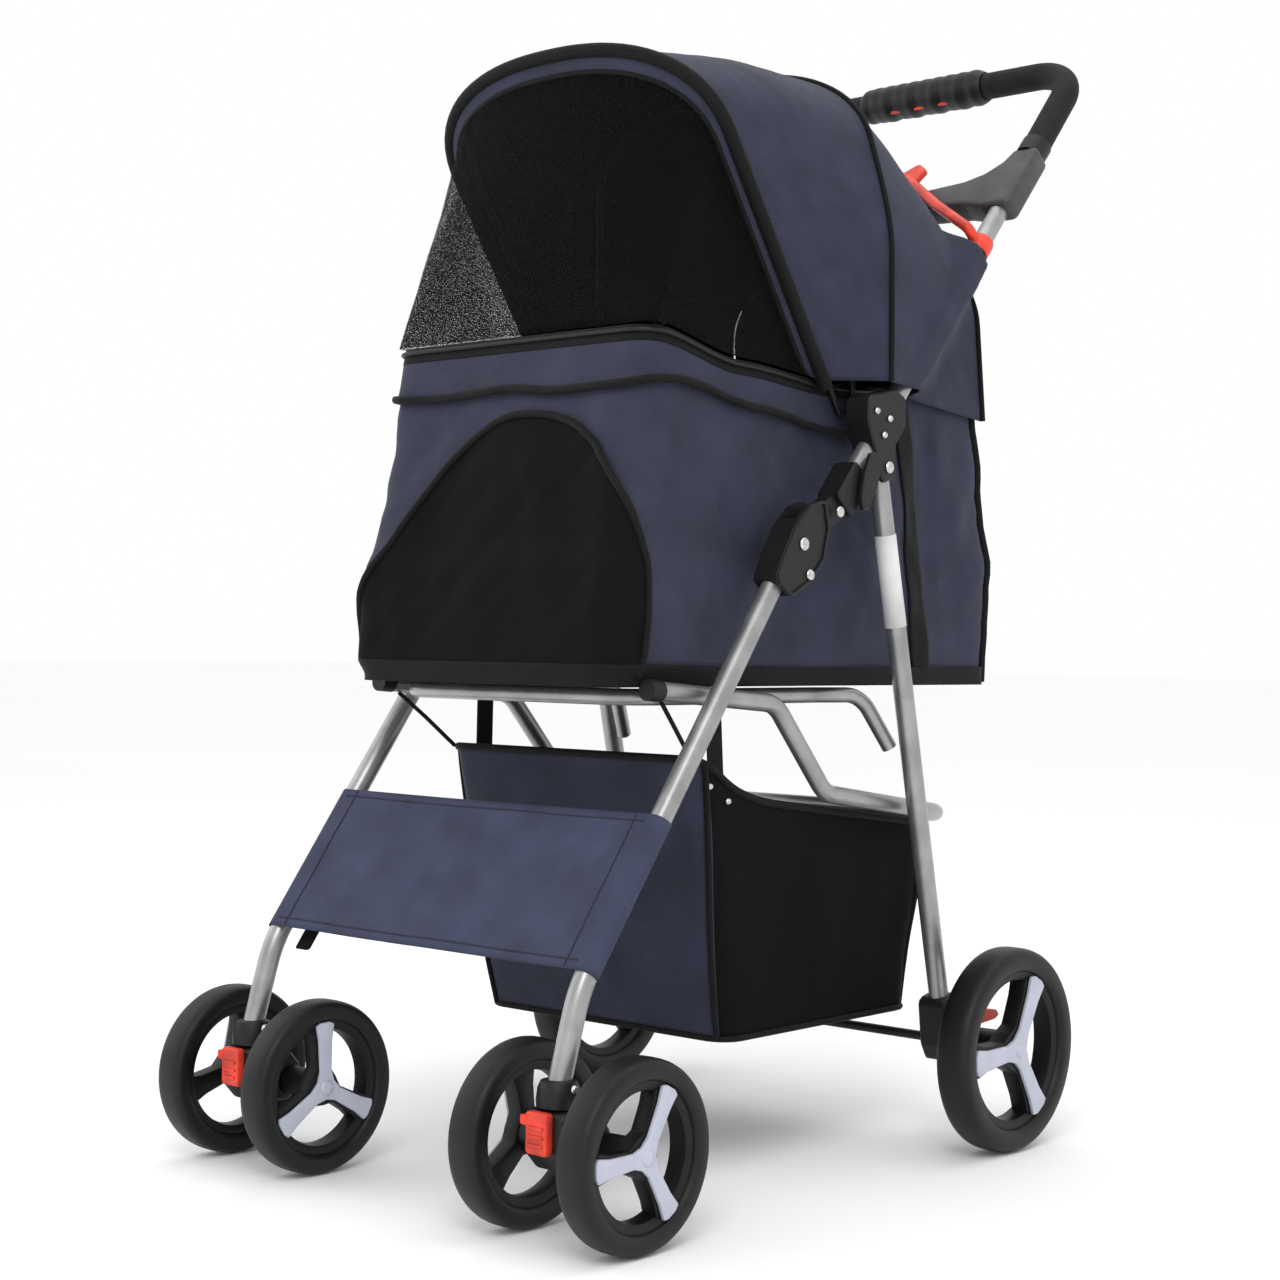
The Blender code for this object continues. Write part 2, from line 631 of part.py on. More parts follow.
def hoop(name, pivot, angle, top):
    """A bent wire whose feet turn outwards into the upper brackets."""
    outer = HOOP_X + 0.0125
    corner = CANOPY_CORNER - CANOPY_X + HOOP_X
    path = [Vector((outer, 0)), *(Vector(p[:2]) for p in arch_at(HOOP_X, top, corner, 16)), Vector((-outer, 0))]
    tube(name, [in_hoop_plane(pivot, angle, p.x, p.y) for p in path], HOOP_R, "black_plastic", (0, *pivot), sides=8)


def canopy_sheet(name, look, rings):
    bm = bmesh.new()
    rows = [[bm.verts.new(p) for p in ring] for ring in rings]
    for low, high in zip(rows, rows[1:]):
        for k in range(len(low) - 1):
            bm.faces.new((low[k], low[k + 1], high[k + 1], high[k]))
    bm.normal_update()
    middle = bm.faces[:][len(rows[0]) // 2]
    if middle.normal.z < 0:
        bmesh.ops.reverse_faces(bm, faces=bm.faces)
    made = finish_open(name, bm, look)
    wall = made.modifiers.new("Wall", "SOLIDIFY")
    wall.thickness = CANOPY_WALL
    wall.offset = 1
    wall.use_even_offset = True


def hoop_ring(pivot, angle, top, lift, count=16):
    """The fabric's line over a hoop: clear of the wire, from lift above the pivot."""
    ring = []
    for point in arch_at(CANOPY_X, top, CANOPY_CORNER, count):
        s = lift + (top - lift) * point.y / top
        ring.append(in_hoop_plane(pivot, angle, point.x, s))
    return ring


def canopy():
    hoop("front_canopy_hoop", FRONT_HOOP_PIVOT, FRONT_HOOP_ANGLE, FRONT_HOOP_TOP - 0.006)
    hoop("rear_canopy_hoop", REAR_HOOP_PIVOT, REAR_HOOP_ANGLE, REAR_HOOP_TOP - 0.006)

    front = hoop_ring(FRONT_HOOP_PIVOT, FRONT_HOOP_ANGLE + 0.012, FRONT_HOOP_TOP + 0.004, 0.045)
    middle = hoop_ring(REAR_HOOP_PIVOT, REAR_HOOP_ANGLE, REAR_HOOP_TOP + 0.006, 0.045)
    step = Vector((0, 0.0016, 0))
    between = [a.lerp(b, 0.5) + Vector((0, 0, 0.012 * (1 - (a.x / CANOPY_X) ** 2))) for a, b in zip(front, middle)]
    canopy_sheet("front_canopy", "navy_fabric", [front, between, [p - step for p in middle]])

    back = []
    for point in arch_at(CANOPY_X, REAR_PANEL_TOP + 0.012 - CABIN_RIM - 0.012, 0.05, 16):
        height = CABIN_RIM + 0.012 + point.y
        slope = (CABIN_REAR_RIM - REAR_PANEL_TOP_Y) / (REAR_PANEL_TOP - CABIN_RIM)
        back.append(Vector((point.x, CABIN_REAR_RIM - 0.004 - slope * (height - CABIN_RIM), height)))
    between = [a.lerp(b, 0.5) for a, b in zip(middle, back)]
    canopy_sheet("rear_canopy", "navy_fabric", [[p + step for p in middle], between, back])


def front_mesh():
    """The zipped mesh front, from the front hoop down to the cabin's rim."""
    edge = hoop_ring(FRONT_HOOP_PIVOT, FRONT_HOOP_ANGLE + 0.045, FRONT_HOOP_TOP - 0.006, 0.060)
    start_y = FRONT_HOOP_PIVOT.x - 0.035
    run = []
    total = 2 * (start_y - CABIN_FRONT_RIM) + 2 * CANOPY_X
    count = len(edge) - 1
    for k in range(count + 1):
        way = total * k / count
        side = start_y - CABIN_FRONT_RIM
        if way < side:
            run.append(Vector((CABIN_X + 0.004, start_y - way, 0)))
        elif way < side + 2 * CANOPY_X:
            run.append(Vector(((CABIN_X + 0.004) * (1 - (way - side) / CANOPY_X), CABIN_FRONT_RIM - 0.002, 0)))
        else:
            run.append(Vector((-CABIN_X - 0.004, CABIN_FRONT_RIM + way - side - 2 * CANOPY_X, 0)))
    rim = [Vector((p.x, p.y, CABIN_RIM + 0.004)) for p in run]
    bulge = [a.lerp(b, 0.5) + Vector((0, -0.012 * (1 - (a.x / CANOPY_X) ** 2), 0)) for a, b in zip(edge, rim)]
    canopy_sheet("front_mesh_panel", "black_fabric", [rim, bulge, edge])


# ---- handle -------------------------------------------------------------------------------
def hinge_arm(side, sign):
    """The black arm that pivots in the fold bracket and holds the handle tube's lower end."""
    side_way = HANDLE_NORMAL.yz
    end = along_handle(HANDLE_START - 0.004).yz
    ahead = (end - FOLD_PIVOT).normalized()
    across = Vector((-ahead.y, ahead.x))
    tongue = []
    for k in range(7):
        angle = math.atan2(ahead.y, ahead.x) + math.radians(102 + 26 * k)
        tongue.append(FOLD_PIVOT + Vector((math.cos(angle), math.sin(angle))) * TONGUE_SWEEP * 0.8)
    high = along_handle(ARM_END).yz
    outline = [*tongue, FOLD_PIVOT + ahead * 0.035 - across * 0.009, end - side_way * 0.012,
               high - side_way * 0.0118, high + side_way * 0.0118, end + side_way * 0.0125,
               FOLD_PIVOT + ahead * 0.030 + across * 0.0115]
    bm = bmesh.new()
    plate(bm, outline, sign * LEG_X - TONGUE / 2, sign * LEG_X + TONGUE / 2)
    arm = finish_mesh(side + "_hinge_arm", bm, "black_plastic", on_side(sign, LEG_X, FOLD_PIVOT))
    bm = bmesh.new()
    lower = along_handle(HANDLE_START - 0.008).yz
    grown = [lower - side_way * 0.0135, high - side_way * 0.0135, high + side_way * 0.0135, lower + side_way * 0.0135]
    plate(bm, rounded_outline(grown, 0.004, 2), sign * LEG_X - 0.0115, sign * LEG_X + 0.0115, 0.0015)
    combine(arm, cutter(side + "_arm_socket", bm), "UNION")
    bm = bmesh.new()
    sweep(bm, [along_handle(HANDLE_START - GAP, sign * LEG_X), along_handle(0.05, sign * LEG_X)], TUBE_R + GAP, 10)
    combine(arm, cutter(side + "_arm_bore", bm))
    bm = bmesh.new()
    disc(bm, FOLD_PIVOT, 0.0040 + GAP, sign * LEG_X - 0.03, sign * LEG_X + 0.03, 16)
    combine(arm, cutter(side + "_arm_pivot_bore", bm))


def upper_bracket(side, sign):
    """The black bracket on the handle tube: rear-leg pivot below, canopy pivots above."""
    outline = [(0.118, 0.557), (0.135, 0.563), (0.136, 0.590), (0.150, 0.606), (0.150, 0.630), (0.136, 0.636),
               (0.097, 0.628), (0.096, 0.608), (0.104, 0.590)]
    bm = bmesh.new()
    plate(bm, rounded_outline(outline, 0.006, 2), sign * (LEG_X - 0.0115), sign * (LEG_X + 0.0125), 0.0015)
    made = finish_mesh(side + "_upper_bracket", bm, "black_plastic", on_side(sign, LEG_X, REAR_PIVOT))
    bm = bmesh.new()
    sweep(bm, [along_handle(-0.05, sign * LEG_X), along_handle(0.12, sign * LEG_X)], TUBE_R + GAP, 10)
    combine(made, cutter(side + "_bracket_bore", bm))
    slot = TUBE_R + 0.0006
    round_end = []
    for k in range(9):
        angle = math.radians(70 + 20 * k)
        round_end.append(REAR_PIVOT + Vector((math.cos(angle), math.sin(angle))) * 0.0125)
    corners = round_end + [REAR_PIVOT + Vector(p) for p in ((-0.010, -0.06), (0.08, -0.06), (0.08, 0.020))]
    bm = bmesh.new()
    plate(bm, corners, sign * LEG_X - slot, sign * LEG_X + slot)
    combine(made, cutter(side + "_leg_slot", bm))


def handle():
    for side, sign in SIDES:
        tube(side + "_handle_tube", [along_handle(HANDLE_START, sign * LEG_X), along_handle(HANDLE_END, sign * LEG_X)],
             TUBE_R, "tube_paint", on_side(sign, LEG_X, FOLD_PIVOT))
        hinge_arm(side, sign)
        upper_bracket(side, sign)

    bm = bmesh.new()
    arm_low, arm_top = HANDLE_END + GAP, YOKE_TOP
    outer = LEG_X + 0.0145
    inner = LEG_X - 0.0135
    half_shape = [(outer, arm_low), (outer + 0.001, arm_top), (inner + 0.003, arm_top), (inner - 0.006, 0.366),
                  (inner - 0.024, 0.351), (0.085, 0.344), (0.0, 0.342)]
    lower_half = [(0.0, 0.316), (0.085, 0.317), (inner - 0.020, 0.314), (inner, arm_low)]
    outline = half_shape + [(-x, s) for x, s in half_shape[-2::-1]] + [(-x, s) for x, s in lower_half[::-1]]
    outline += lower_half[1:]
    tray_shape(bm, outline, -0.0125, 0.0125)
    finish_mesh("handle_yoke", bm, "grey_plastic", sharp=35)

    end = HOUSING_HALF + GAP
    for side, sign in SIDES:
        path = filleted([along_handle(YOKE_TOP + GAP, sign * GRIP_X), along_handle(GRIP_TOP, sign * GRIP_X),
                         along_handle(GRIP_TOP, sign * end)], 0.045, 5)
        tube(side + "_grip", path, GRIP_R, "foam", sides=14)

    bm = bmesh.new()
    stations = [(-1, 0.82), (-0.86, 0.98), (-0.62, 1.0), (-0.2, 1.06), (0.2, 1.06), (0.62, 1.0), (0.86, 0.98), (1, 0.82)]
    rings = []
    for share, size in stations:
        ring = []
        for k in range(14):
            angle = 2 * math.pi * k / 14
            off = HOUSING_R * size
            ring.append(bm.verts.new(along_handle(GRIP_TOP + off * math.cos(angle), share * HOUSING_HALF,
                                                  off * math.sin(angle))))
        rings.append(ring)
    for low, high in zip(rings, rings[1:]):
        for k in range(14):
            bm.faces.new((low[k], low[(k + 1) % 14], high[(k + 1) % 14], high[k]))
    bm.faces.new(rings[0])
    bm.faces.new(rings[-1])
    housing = finish_mesh("grip_housing", bm, "black_plastic")
    bm = bmesh.new()
    pocket(bm, 0.0245, GRIP_TOP - 0.030, GRIP_TOP - 0.002, 0.0060)
    combine(housing, cutter("trigger_pocket", bm))
    bm = bmesh.new()
    pocket(bm, 0.0240, GRIP_TOP - 0.0235, GRIP_TOP - 0.0095, 0.0055)
    finish_mesh("release_trigger", bm, "red_plastic", along_handle(GRIP_TOP - 0.0165))


def pocket(bm, half_x, low, high, half_lift):
    corners = [(x, s, n) for x in (-half_x, half_x) for s in (low, high) for n in (-half_lift, half_lift)]
    verts = [bm.verts.new(along_handle(s, x, n)) for x, s, n in corners]
    bmesh.ops.convex_hull(bm, input=verts)


def tray_shape(bm, outline, low, high):
    """A closed (x, distance) outline in the handle's plane, given a thickness across it."""
    face = bm.faces.new([bm.verts.new(along_handle(s, x, low)) for x, s in outline])
    grown = bmesh.ops.extrude_face_region(bm, geom=[face])
    moved = [v for v in grown["geom"] if isinstance(v, bmesh.types.BMVert)]
    bmesh.ops.translate(bm, verts=moved, vec=HANDLE_NORMAL * (high - low))
    bmesh.ops.recalc_face_normals(bm, faces=bm.faces)
    rim = [e for e in bm.edges if abs((e.verts[0].co - e.verts[1].co).dot(HANDLE_NORMAL)) < 1e-7]
    bmesh.ops.bevel(bm, geom=rim, offset=0.004, segments=2, profile=0.5, affect="EDGES")


def release_bar():
    """The red bar that is pulled up along both handle tubes to free the fold."""
    start = 0.262
    lift = 0.0225
    half = [(LEG_X, 0.0), (0.118, 0.040), (0.068, 0.084), (0.030, 0.106), (0.0, 0.112)]
    points = [along_handle(start + s, x, lift) for x, s in half]
    points += [along_handle(start + s, -x, lift) for x, s in half[-2::-1]]
    bm = bmesh.new()
    sweep(bm, filleted(points, 0.05, 1), 0.0045, 8)
    bar = finish_mesh("release_bar", bm, "red_plastic", along_handle(start))
    for side, sign in SIDES:
        bm = bmesh.new()
        sweep(bm, [along_handle(start - 0.012, sign * LEG_X), along_handle(start + 0.012, sign * LEG_X)],
              TUBE_R + 0.0035, 14)
        combine(bar, cutter(side + "_slider_sleeve", bm), "UNION")
        bm = bmesh.new()
        sweep(bm, [along_handle(start - 0.004, sign * LEG_X), along_handle(start - 0.003, sign * LEG_X, lift + 0.002)],
              0.0042, 8)
        bmesh.ops.translate(bm, verts=bm.verts, vec=HANDLE_DIR * 0.004)
        combine(bar, cutter(side + "_slider_post", bm), "UNION")
        bm = bmesh.new()
        sweep(bm, [along_handle(start - 0.05, sign * LEG_X), along_handle(start + 0.05, sign * LEG_X)],
              TUBE_R + 2 * GAP, 10)
        combine(bar, cutter(side + "_slider_bore", bm))


def safety_hook():
    """The hook on one side that keeps the fold locked until it is lifted."""
    pivot = along_handle(-0.008, 0).yz
    ahead = -HANDLE_DIR.yz
    across = -HANDLE_NORMAL.yz
    outline = []
    for along, wide in ((-0.012, 0.004), (-0.006, 0.011), (0.010, 0.016), (0.030, 0.020), (0.036, 0.014),
                        (0.030, 0.006), (0.012, -0.004), (-0.006, -0.009), (-0.012, -0.004)):
        outline.append(pivot + ahead * along + across * wide)
    bm = bmesh.new()
    plate(bm, rounded_outline(outline, 0.003, 2), LEG_X + 0.0130, LEG_X + 0.0175, 0.0008)
    finish_mesh("safety_hook", bm, "black_plastic", on_side(1, LEG_X, pivot))


def make_materials():
    material("tube_paint", (0.40, 0.40, 0.39), 0.35, 0.6)
    material("black_plastic", (0.012, 0.012, 0.013), 0.45)
    material("grey_plastic", (0.065, 0.065, 0.070), 0.5)
    material("rim_plastic", (0.010, 0.010, 0.011), 0.5)
    material("foam", (0.014, 0.014, 0.015), 0.85)
    material("tyre", (0.012, 0.012, 0.012), 0.7)
    material("red_plastic", (0.60, 0.045, 0.025), 0.4)
    material("rivet_steel", (0.60, 0.60, 0.60), 0.3, 1.0)
    material("navy_fabric", (0.035, 0.040, 0.075), 0.9)
    material("black_fabric", (0.010, 0.010, 0.012), 0.95)


def centre_length():
    """Moves everything so that the origin is in the middle of the overall length."""
    front = CASTER_Y + FRONT_TRAIL - FRONT_R
    rear = along_handle(GRIP_TOP).y + HOUSING_R * 1.06
    for made in bpy.data.objects:
        made.location.y -= (front + rear) / 2


def main():
    clear_scene()
    make_materials()
    front_frame()
    banner()
    casters()
    rear_legs()
    basket_frame()
    basket()
    seat_frame()
    cabin()
    rear_panel()
    canopy()
    front_mesh()
    handle()
    release_bar()
    safety_hook()
    centre_length()


main()
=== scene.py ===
"""Pet stroller: the finished surfaces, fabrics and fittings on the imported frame."""

import math

import bmesh
import bpy
from mathutils import Matrix, Vector, noise


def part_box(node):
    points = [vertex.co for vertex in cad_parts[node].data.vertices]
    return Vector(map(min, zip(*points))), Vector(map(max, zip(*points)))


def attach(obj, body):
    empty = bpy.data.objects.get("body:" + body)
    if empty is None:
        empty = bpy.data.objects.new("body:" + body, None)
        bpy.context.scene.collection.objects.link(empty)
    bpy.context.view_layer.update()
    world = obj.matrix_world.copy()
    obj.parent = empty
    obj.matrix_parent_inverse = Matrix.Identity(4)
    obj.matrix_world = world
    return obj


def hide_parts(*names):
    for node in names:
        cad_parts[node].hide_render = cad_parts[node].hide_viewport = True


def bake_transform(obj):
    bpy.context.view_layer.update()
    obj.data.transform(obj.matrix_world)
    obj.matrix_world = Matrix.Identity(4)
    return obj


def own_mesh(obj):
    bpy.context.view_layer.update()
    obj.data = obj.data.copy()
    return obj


bl_info = {
    "name": "Pet Stroller",
    "version": (1, 0, 0),
    "blender": (4, 5, 0),
    "location": "3D View > Sidebar > Stroller",
    "description": "Builds the looks of a folding pet stroller on its frame",
    "category": "Object",
}

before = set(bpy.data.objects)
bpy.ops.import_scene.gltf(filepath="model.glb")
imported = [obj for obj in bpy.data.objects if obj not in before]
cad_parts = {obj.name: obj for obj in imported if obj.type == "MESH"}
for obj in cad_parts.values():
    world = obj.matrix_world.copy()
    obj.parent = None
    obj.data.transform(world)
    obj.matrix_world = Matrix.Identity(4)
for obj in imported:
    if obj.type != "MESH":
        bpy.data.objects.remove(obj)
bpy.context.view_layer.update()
SIDES = (("left", 1), ("right", -1))


# ---- places taken from the frame ------------------------------------------------------------
def middle(node):
    low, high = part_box(node)
    return (Vector(low) + Vector(high)) / 2


CASTER_AXLE = Vector((-0.2235, 0.0685))
MID = CASTER_AXLE.x - middle("left_caster_axle").y  # from the drawing's origin to the middle
LEG_X = middle("left_fold_pin").x
TUBE_R = 0.0085
FRONT_R, FRONT_WIDTH = 0.0685, 0.028
REAR_R, REAR_WIDTH = 0.0855, 0.032
STEM_Y = -0.246  # the casters swivel about an upright line here
FOLD_PIVOT = Vector((0.012, 0.503))
REAR_PIVOT = Vector((0.1255, 0.571))
REAR_AXLE = Vector((0.236, 0.0855))
LEG_FOOT = Vector((-0.246, 0.112))
LEG_KNEE = Vector((-0.226, 0.178))
LEG_ANGLE = math.radians(53.8)
LEG_DIR = Vector((math.cos(LEG_ANGLE), math.sin(LEG_ANGLE)))
HANDLE_POINT = Vector((0.102, 0.576))
HANDLE_ANGLE = math.radians(49.2)
HANDLE_DIR = Vector((0, math.cos(HANDLE_ANGLE), math.sin(HANDLE_ANGLE)))
HANDLE_NORMAL = Vector((0, -math.sin(HANDLE_ANGLE), math.cos(HANDLE_ANGLE)))
GRIP_TOP = 0.512
SLIDER_AT = 0.262  # how far up the handle tube the release bar's sliders sit
FRONT_HOOP = (Vector((0.107, 0.616)), math.radians(124.6))  # pivot and slope
REAR_HOOP = (Vector((0.125, 0.611)), math.radians(91.0))
CABIN_FLOOR, CABIN_RIM = 0.393, 0.652
CABIN_ROUND, CABIN_HIGH = 1.5, 0.26  # the cabin wall's UV sizes
BASKET_FLOOR, BASKET_TOP = 0.1105, 0.315


def at(x, y, z):
    """A point in the drawing's coordinates, moved to the frame's origin."""
    return Vector((x, y - MID, z))


def on_side(sign, x, yz):
    """A point on the left (sign 1) or the right (sign -1)."""
    return at(sign * x, yz[0], yz[1])


def along_handle(distance, x=0.0, lift=0.0):
    """A point at a distance up the handle tubes' line; lift moves it forward off the line."""
    return at(x, *HANDLE_POINT) + HANDLE_DIR * distance + HANDLE_NORMAL * lift


def in_hoop(hoop, x, s, lift=0.0):
    """A point in a hoop's plane, s from its pivot; lift moves it forward off the plane."""
    pivot, angle = hoop
    return at(x, pivot.x + s * math.cos(angle) - lift * math.sin(angle),
              pivot.y + s * math.sin(angle) + lift * math.cos(angle))


# ---- sizes and colours a user may change ----------------------------------------------------
class StrollerColours(bpy.types.PropertyGroup):
    """Colours of the finishes, as sRGB hex values."""

    fabric: bpy.props.StringProperty(name="Fabric", description="Main woven fabric",
                                     default="#2B2E40")
    lining: bpy.props.StringProperty(name="Mesh and lining", description="Black net and lining",
                                     default="#121214")
    frame_paint: bpy.props.StringProperty(name="Frame paint", description="Silver tube paint",
                                          default="#9B9C9B")
    accents: bpy.props.StringProperty(name="Accents", description="Locks, sliders and triggers",
                                      default="#D23A26")


class StrollerSizes(bpy.types.PropertyGroup):
    """Sizes of the soft parts."""

    cloth: bpy.props.FloatProperty(name="Cloth thickness",
                                   description="Thickness of the woven fabric",
                                   default=0.0016, min=0.0005, max=0.003, unit="LENGTH")
    binding: bpy.props.FloatProperty(name="Piping radius",
                                     description="Radius of the piping and bound edges",
                                     default=0.0024, min=0.001, max=0.005, unit="LENGTH")
    slack: bpy.props.FloatProperty(name="Slack", description="Depth of the folds in the fabric",
                                   default=0.0030, min=0.0, max=0.008, unit="LENGTH")


def colours():
    return bpy.context.scene.stroller_colours


def sizes():
    return bpy.context.scene.stroller_sizes


# ---- materials ------------------------------------------------------------------------------
def linear(code):
    """A hex sRGB colour as linear RGBA."""
    channels = [int(code[i:i + 2], 16) / 255 for i in (1, 3, 5)]
    return tuple(((c + 0.055) / 1.055) ** 2.4 if c > 0.04045 else c / 12.92
                 for c in channels) + (1.0,)


def node(tree, kind, settings=None, links=None, **sockets):
    """Adds a node, its settings, its socket values and the links into it."""
    made = tree.nodes.new(kind)
    for name, value in (settings or {}).items():
        setattr(made, name, value)
    for name, value in sockets.items():
        made.inputs[name.replace("_", " ")].default_value = value
    for name, source in (links or {}).items():
        tree.links.new(source, made.inputs[name])
    return made


def new_material(name, roughness, metallic=0.0, **more):
    """The material of that name; its tree and shader come back only when it is new."""
    made = bpy.data.materials.get(name)
    if made:
        return made, None, None
    made = bpy.data.materials.new(name)
    made.use_nodes = True
    tree = made.node_tree
    shader = tree.nodes["Principled BSDF"]
    shader.inputs["Roughness"].default_value = roughness
    shader.inputs["Metallic"].default_value = metallic
    for key, value in more.items():
        shader.inputs[key.replace("_", " ")].default_value = value
    return made, tree, shader


def ramp(tree, source, places, tones, target):
    """A two-stop colour ramp from a value to a shader's input."""
    made = node(tree, "ShaderNodeValToRGB", links={"Fac": source})
    for stop, place, tone in zip(made.color_ramp.elements, places, tones):
        stop.position = place
        stop.color = tone
    tree.links.new(made.outputs["Color"], target)


def varied(tree, shader, dark, light, scale):
    """A soft change of colour between two close tones; it gives back the coordinates used."""
    where = node(tree, "ShaderNodeTexCoord").outputs["Object"]
    cloud = node(tree, "ShaderNodeTexNoise", links={"Vector": where}, Scale=scale, Detail=4.0)
    ramp(tree, cloud.outputs["Fac"], (0.35, 0.65), (linear(dark), linear(light)),
         shader.inputs["Base Color"])
    return where


def raised(tree, shader, height, strength, distance, **links):
    """A bump from a height to the shader's normal."""
    bump = node(tree, "ShaderNodeBump", links={"Height": height, **links}, Strength=strength,
                Distance=distance)
    tree.links.new(bump.outputs["Normal"], shader.inputs["Normal"])


def grained(tree, shader, where, scale, strength, distance, detail=2.0):
    """A fine raised grain; one grain is about 1 / scale metres."""
    fine = node(tree, "ShaderNodeTexNoise", links={"Vector": where}, Scale=scale, Detail=detail)
    raised(tree, shader, fine.outputs["Fac"], strength, distance)


def shade(code, factor):
    """A hex colour made lighter or darker by a factor."""
    parts = [max(0, min(255, round(int(code[i:i + 2], 16) * factor))) for i in (1, 3, 5)]
    return "#" + "".join(f"{p:02X}" for p in parts)


def silver_paint():
    """Powder coat on steel tube: a satin grey with a fine metallic grain."""
    made, tree, shader = new_material("Powder coated steel", 0.34, 0.75, Coat_Weight=0.15,
                                      Coat_Roughness=0.3)
    if tree:
        tone = colours().frame_paint
        where = varied(tree, shader, shade(tone, 0.93), shade(tone, 1.06), 35)
        grained(tree, shader, where, 900, 0.08, 0.0003)
    return made


def moulded(name, tone, roughness, grain=0.12, spread=0.12, ior=1.45):
    """Injection-moulded nylon: even colour with a fine spark-eroded texture."""
    made, tree, shader = new_material(name, roughness, IOR=ior)
    if tree:
        where = varied(tree, shader, shade(tone, 1 - spread), shade(tone, 1 + spread), 60)
        grained(tree, shader, where, 1400, grain, 0.0004, 3.0)
        broad = node(tree, "ShaderNodeTexNoise", links={"Vector": where}, Scale=25)
        rough = node(tree, "ShaderNodeMapRange", links={"Value": broad.outputs["Fac"]},
                     To_Min=roughness - 0.06, To_Max=roughness + 0.08)
        tree.links.new(rough.outputs["Result"], shader.inputs["Roughness"])
    return made


def black_nylon():
    return moulded("Black nylon", "#131314", 0.46, ior=1.38)


def grey_nylon():
    return moulded("Grey nylon", "#3A3A3C", 0.45)


def rim_nylon():
    return moulded("Rim nylon", "#0E0E0F", 0.45, ior=1.35)


def cover_plastic():
    """Silver-grey ABS wheel cover, softly glossy."""
    return moulded("Silver ABS", "#B4B7C6", 0.34, 0.03, 0.02)


def red_plastic():
    return moulded("Red ABS", colours().accents, 0.36, 0.05)


def label_paper():
    """Coated paper label, blank."""
    return moulded("Coated paper", "#D6D6D6", 0.55, 0.04, 0.02)


def tyre_rubber():
    """Foamed EVA tyre: black, slightly glossy skin with faint moulding specks."""
    return moulded("Foamed tyre", "#0F0F10", 0.48, 0.10, ior=1.38)


def grip_foam():
    """Closed-cell foam sleeve: matt, with a fine open texture."""
    made, tree, shader = new_material("Grip foam", 0.75, IOR=1.35)
    if tree:
        where = varied(tree, shader, "#101011", "#19191B", 90)
        cells = node(tree, "ShaderNodeTexVoronoi", links={"Vector": where},
                     Scale=900)  # 1.1 mm cells
        raised(tree, shader, cells.outputs["Distance"], 0.35, 0.0004)
    return made


def rivet_steel():
    """Zinc-plated rivet steel, bright and a little brushed."""
    made, tree, shader = new_material("Plated steel", 0.28, 1.0)
    if tree:
        where = varied(tree, shader, "#B4B4B1", "#D9D9D6", 300)
        grained(tree, shader, where, 1200, 0.1, 0.0002)
    return made


def woven(name, tone, thread=0.0011, roughness=0.78, weave=0.5, ior=1.36):
    """Oxford-woven polyester: a plain weave of thick yarns, drawn large enough to show."""
    made, tree, shader = new_material(name, roughness, Sheen_Weight=0.04, Sheen_Roughness=0.4,
                                      IOR=ior)
    if not tree:
        return made
    uv = node(tree, "ShaderNodeTexCoord").outputs["UV"]
    per_metre = math.pi / (thread * 2) / 10
    both = node(tree, "ShaderNodeMath", {"operation": "MULTIPLY"})
    for direction, target in zip("XY", both.inputs):
        bands = node(tree, "ShaderNodeTexWave",
                     {"bands_direction": direction, "wave_profile": "SIN"},
                     {"Vector": uv}, Scale=per_metre, Distortion=0.3, Detail=1.0)
        tree.links.new(bands.outputs["Fac"], target)
    cloudy = node(tree, "ShaderNodeTexNoise", links={"Vector": uv}, Scale=22, Detail=5)
    blend = node(tree, "ShaderNodeMath", {"operation": "MULTIPLY_ADD"})
    tree.links.new(both.outputs[0], blend.inputs[0])
    blend.inputs[1].default_value = 0.35
    tree.links.new(cloudy.outputs["Fac"], blend.inputs[2])
    tones = linear(shade(tone, 0.82)), linear(shade(tone, 1.20))
    ramp(tree, blend.outputs[0], (0.30, 0.95), tones, shader.inputs["Base Color"])
    creases = node(tree, "ShaderNodeTexNoise", links={"Vector": uv}, Scale=14, Detail=3,
                   Distortion=0.6)
    soft = node(tree, "ShaderNodeBump", links={"Height": creases.outputs["Fac"]}, Strength=0.28,
                Distance=0.006)
    raised(tree, shader, both.outputs[0], weave, 0.0004, Normal=soft.outputs["Normal"])
    return made


def navy_cloth():
    return woven("Navy oxford cloth", colours().fabric)


def lit_panel_cloth():
    """The cabin's navy made a little paler for the front panel: painted light from above, not a
    paler cloth.
    """
    # painted light: the cabin's navy lightened 1.22 times stands in for the top light on the panel
    return woven("Navy cloth with painted light", shade(colours().fabric, 1.22))


def black_cloth():
    return woven("Black oxford cloth", "#0B0B0D", roughness=0.85, ior=1.25)


def black_tape():
    """Black binding tape: a ribbed weave, matt."""
    return woven("Binding tape", "#0A0A0B", thread=0.0016, roughness=0.75, weave=0.7, ior=1.3)


def net(name, hole, thread, backing):
    """Knitted net: black yarn with small holes; hole is 0 for net that is backed with cloth."""
    made, tree, shader = new_material(name, 0.85, IOR=1.2)
    if tree:
        uv = node(tree, "ShaderNodeTexCoord").outputs["UV"]
        cells = node(tree, "ShaderNodeTexVoronoi", {"feature": "F1"}, {"Vector": uv}, Scale=640,
                     Randomness=0.3)
        distance = cells.outputs["Distance"]
        if hole:
            clear, solid = (0, 0, 0, 1), (1, 1, 1, 1)
            ramp(tree, distance, (hole, hole + 0.08), (clear, solid), shader.inputs["Alpha"])
        ramp(tree, distance, (0.0, 1.0), (linear(backing), linear(thread)),
             shader.inputs["Base Color"])
        made.surface_render_method = "DITHERED"
    return made


def open_net():
    return net("Open net", 0.40, "#111113", "#0A0A0B")


def backed_net():
    return net("Backed net", 0.0, "#121214", "#08080A")


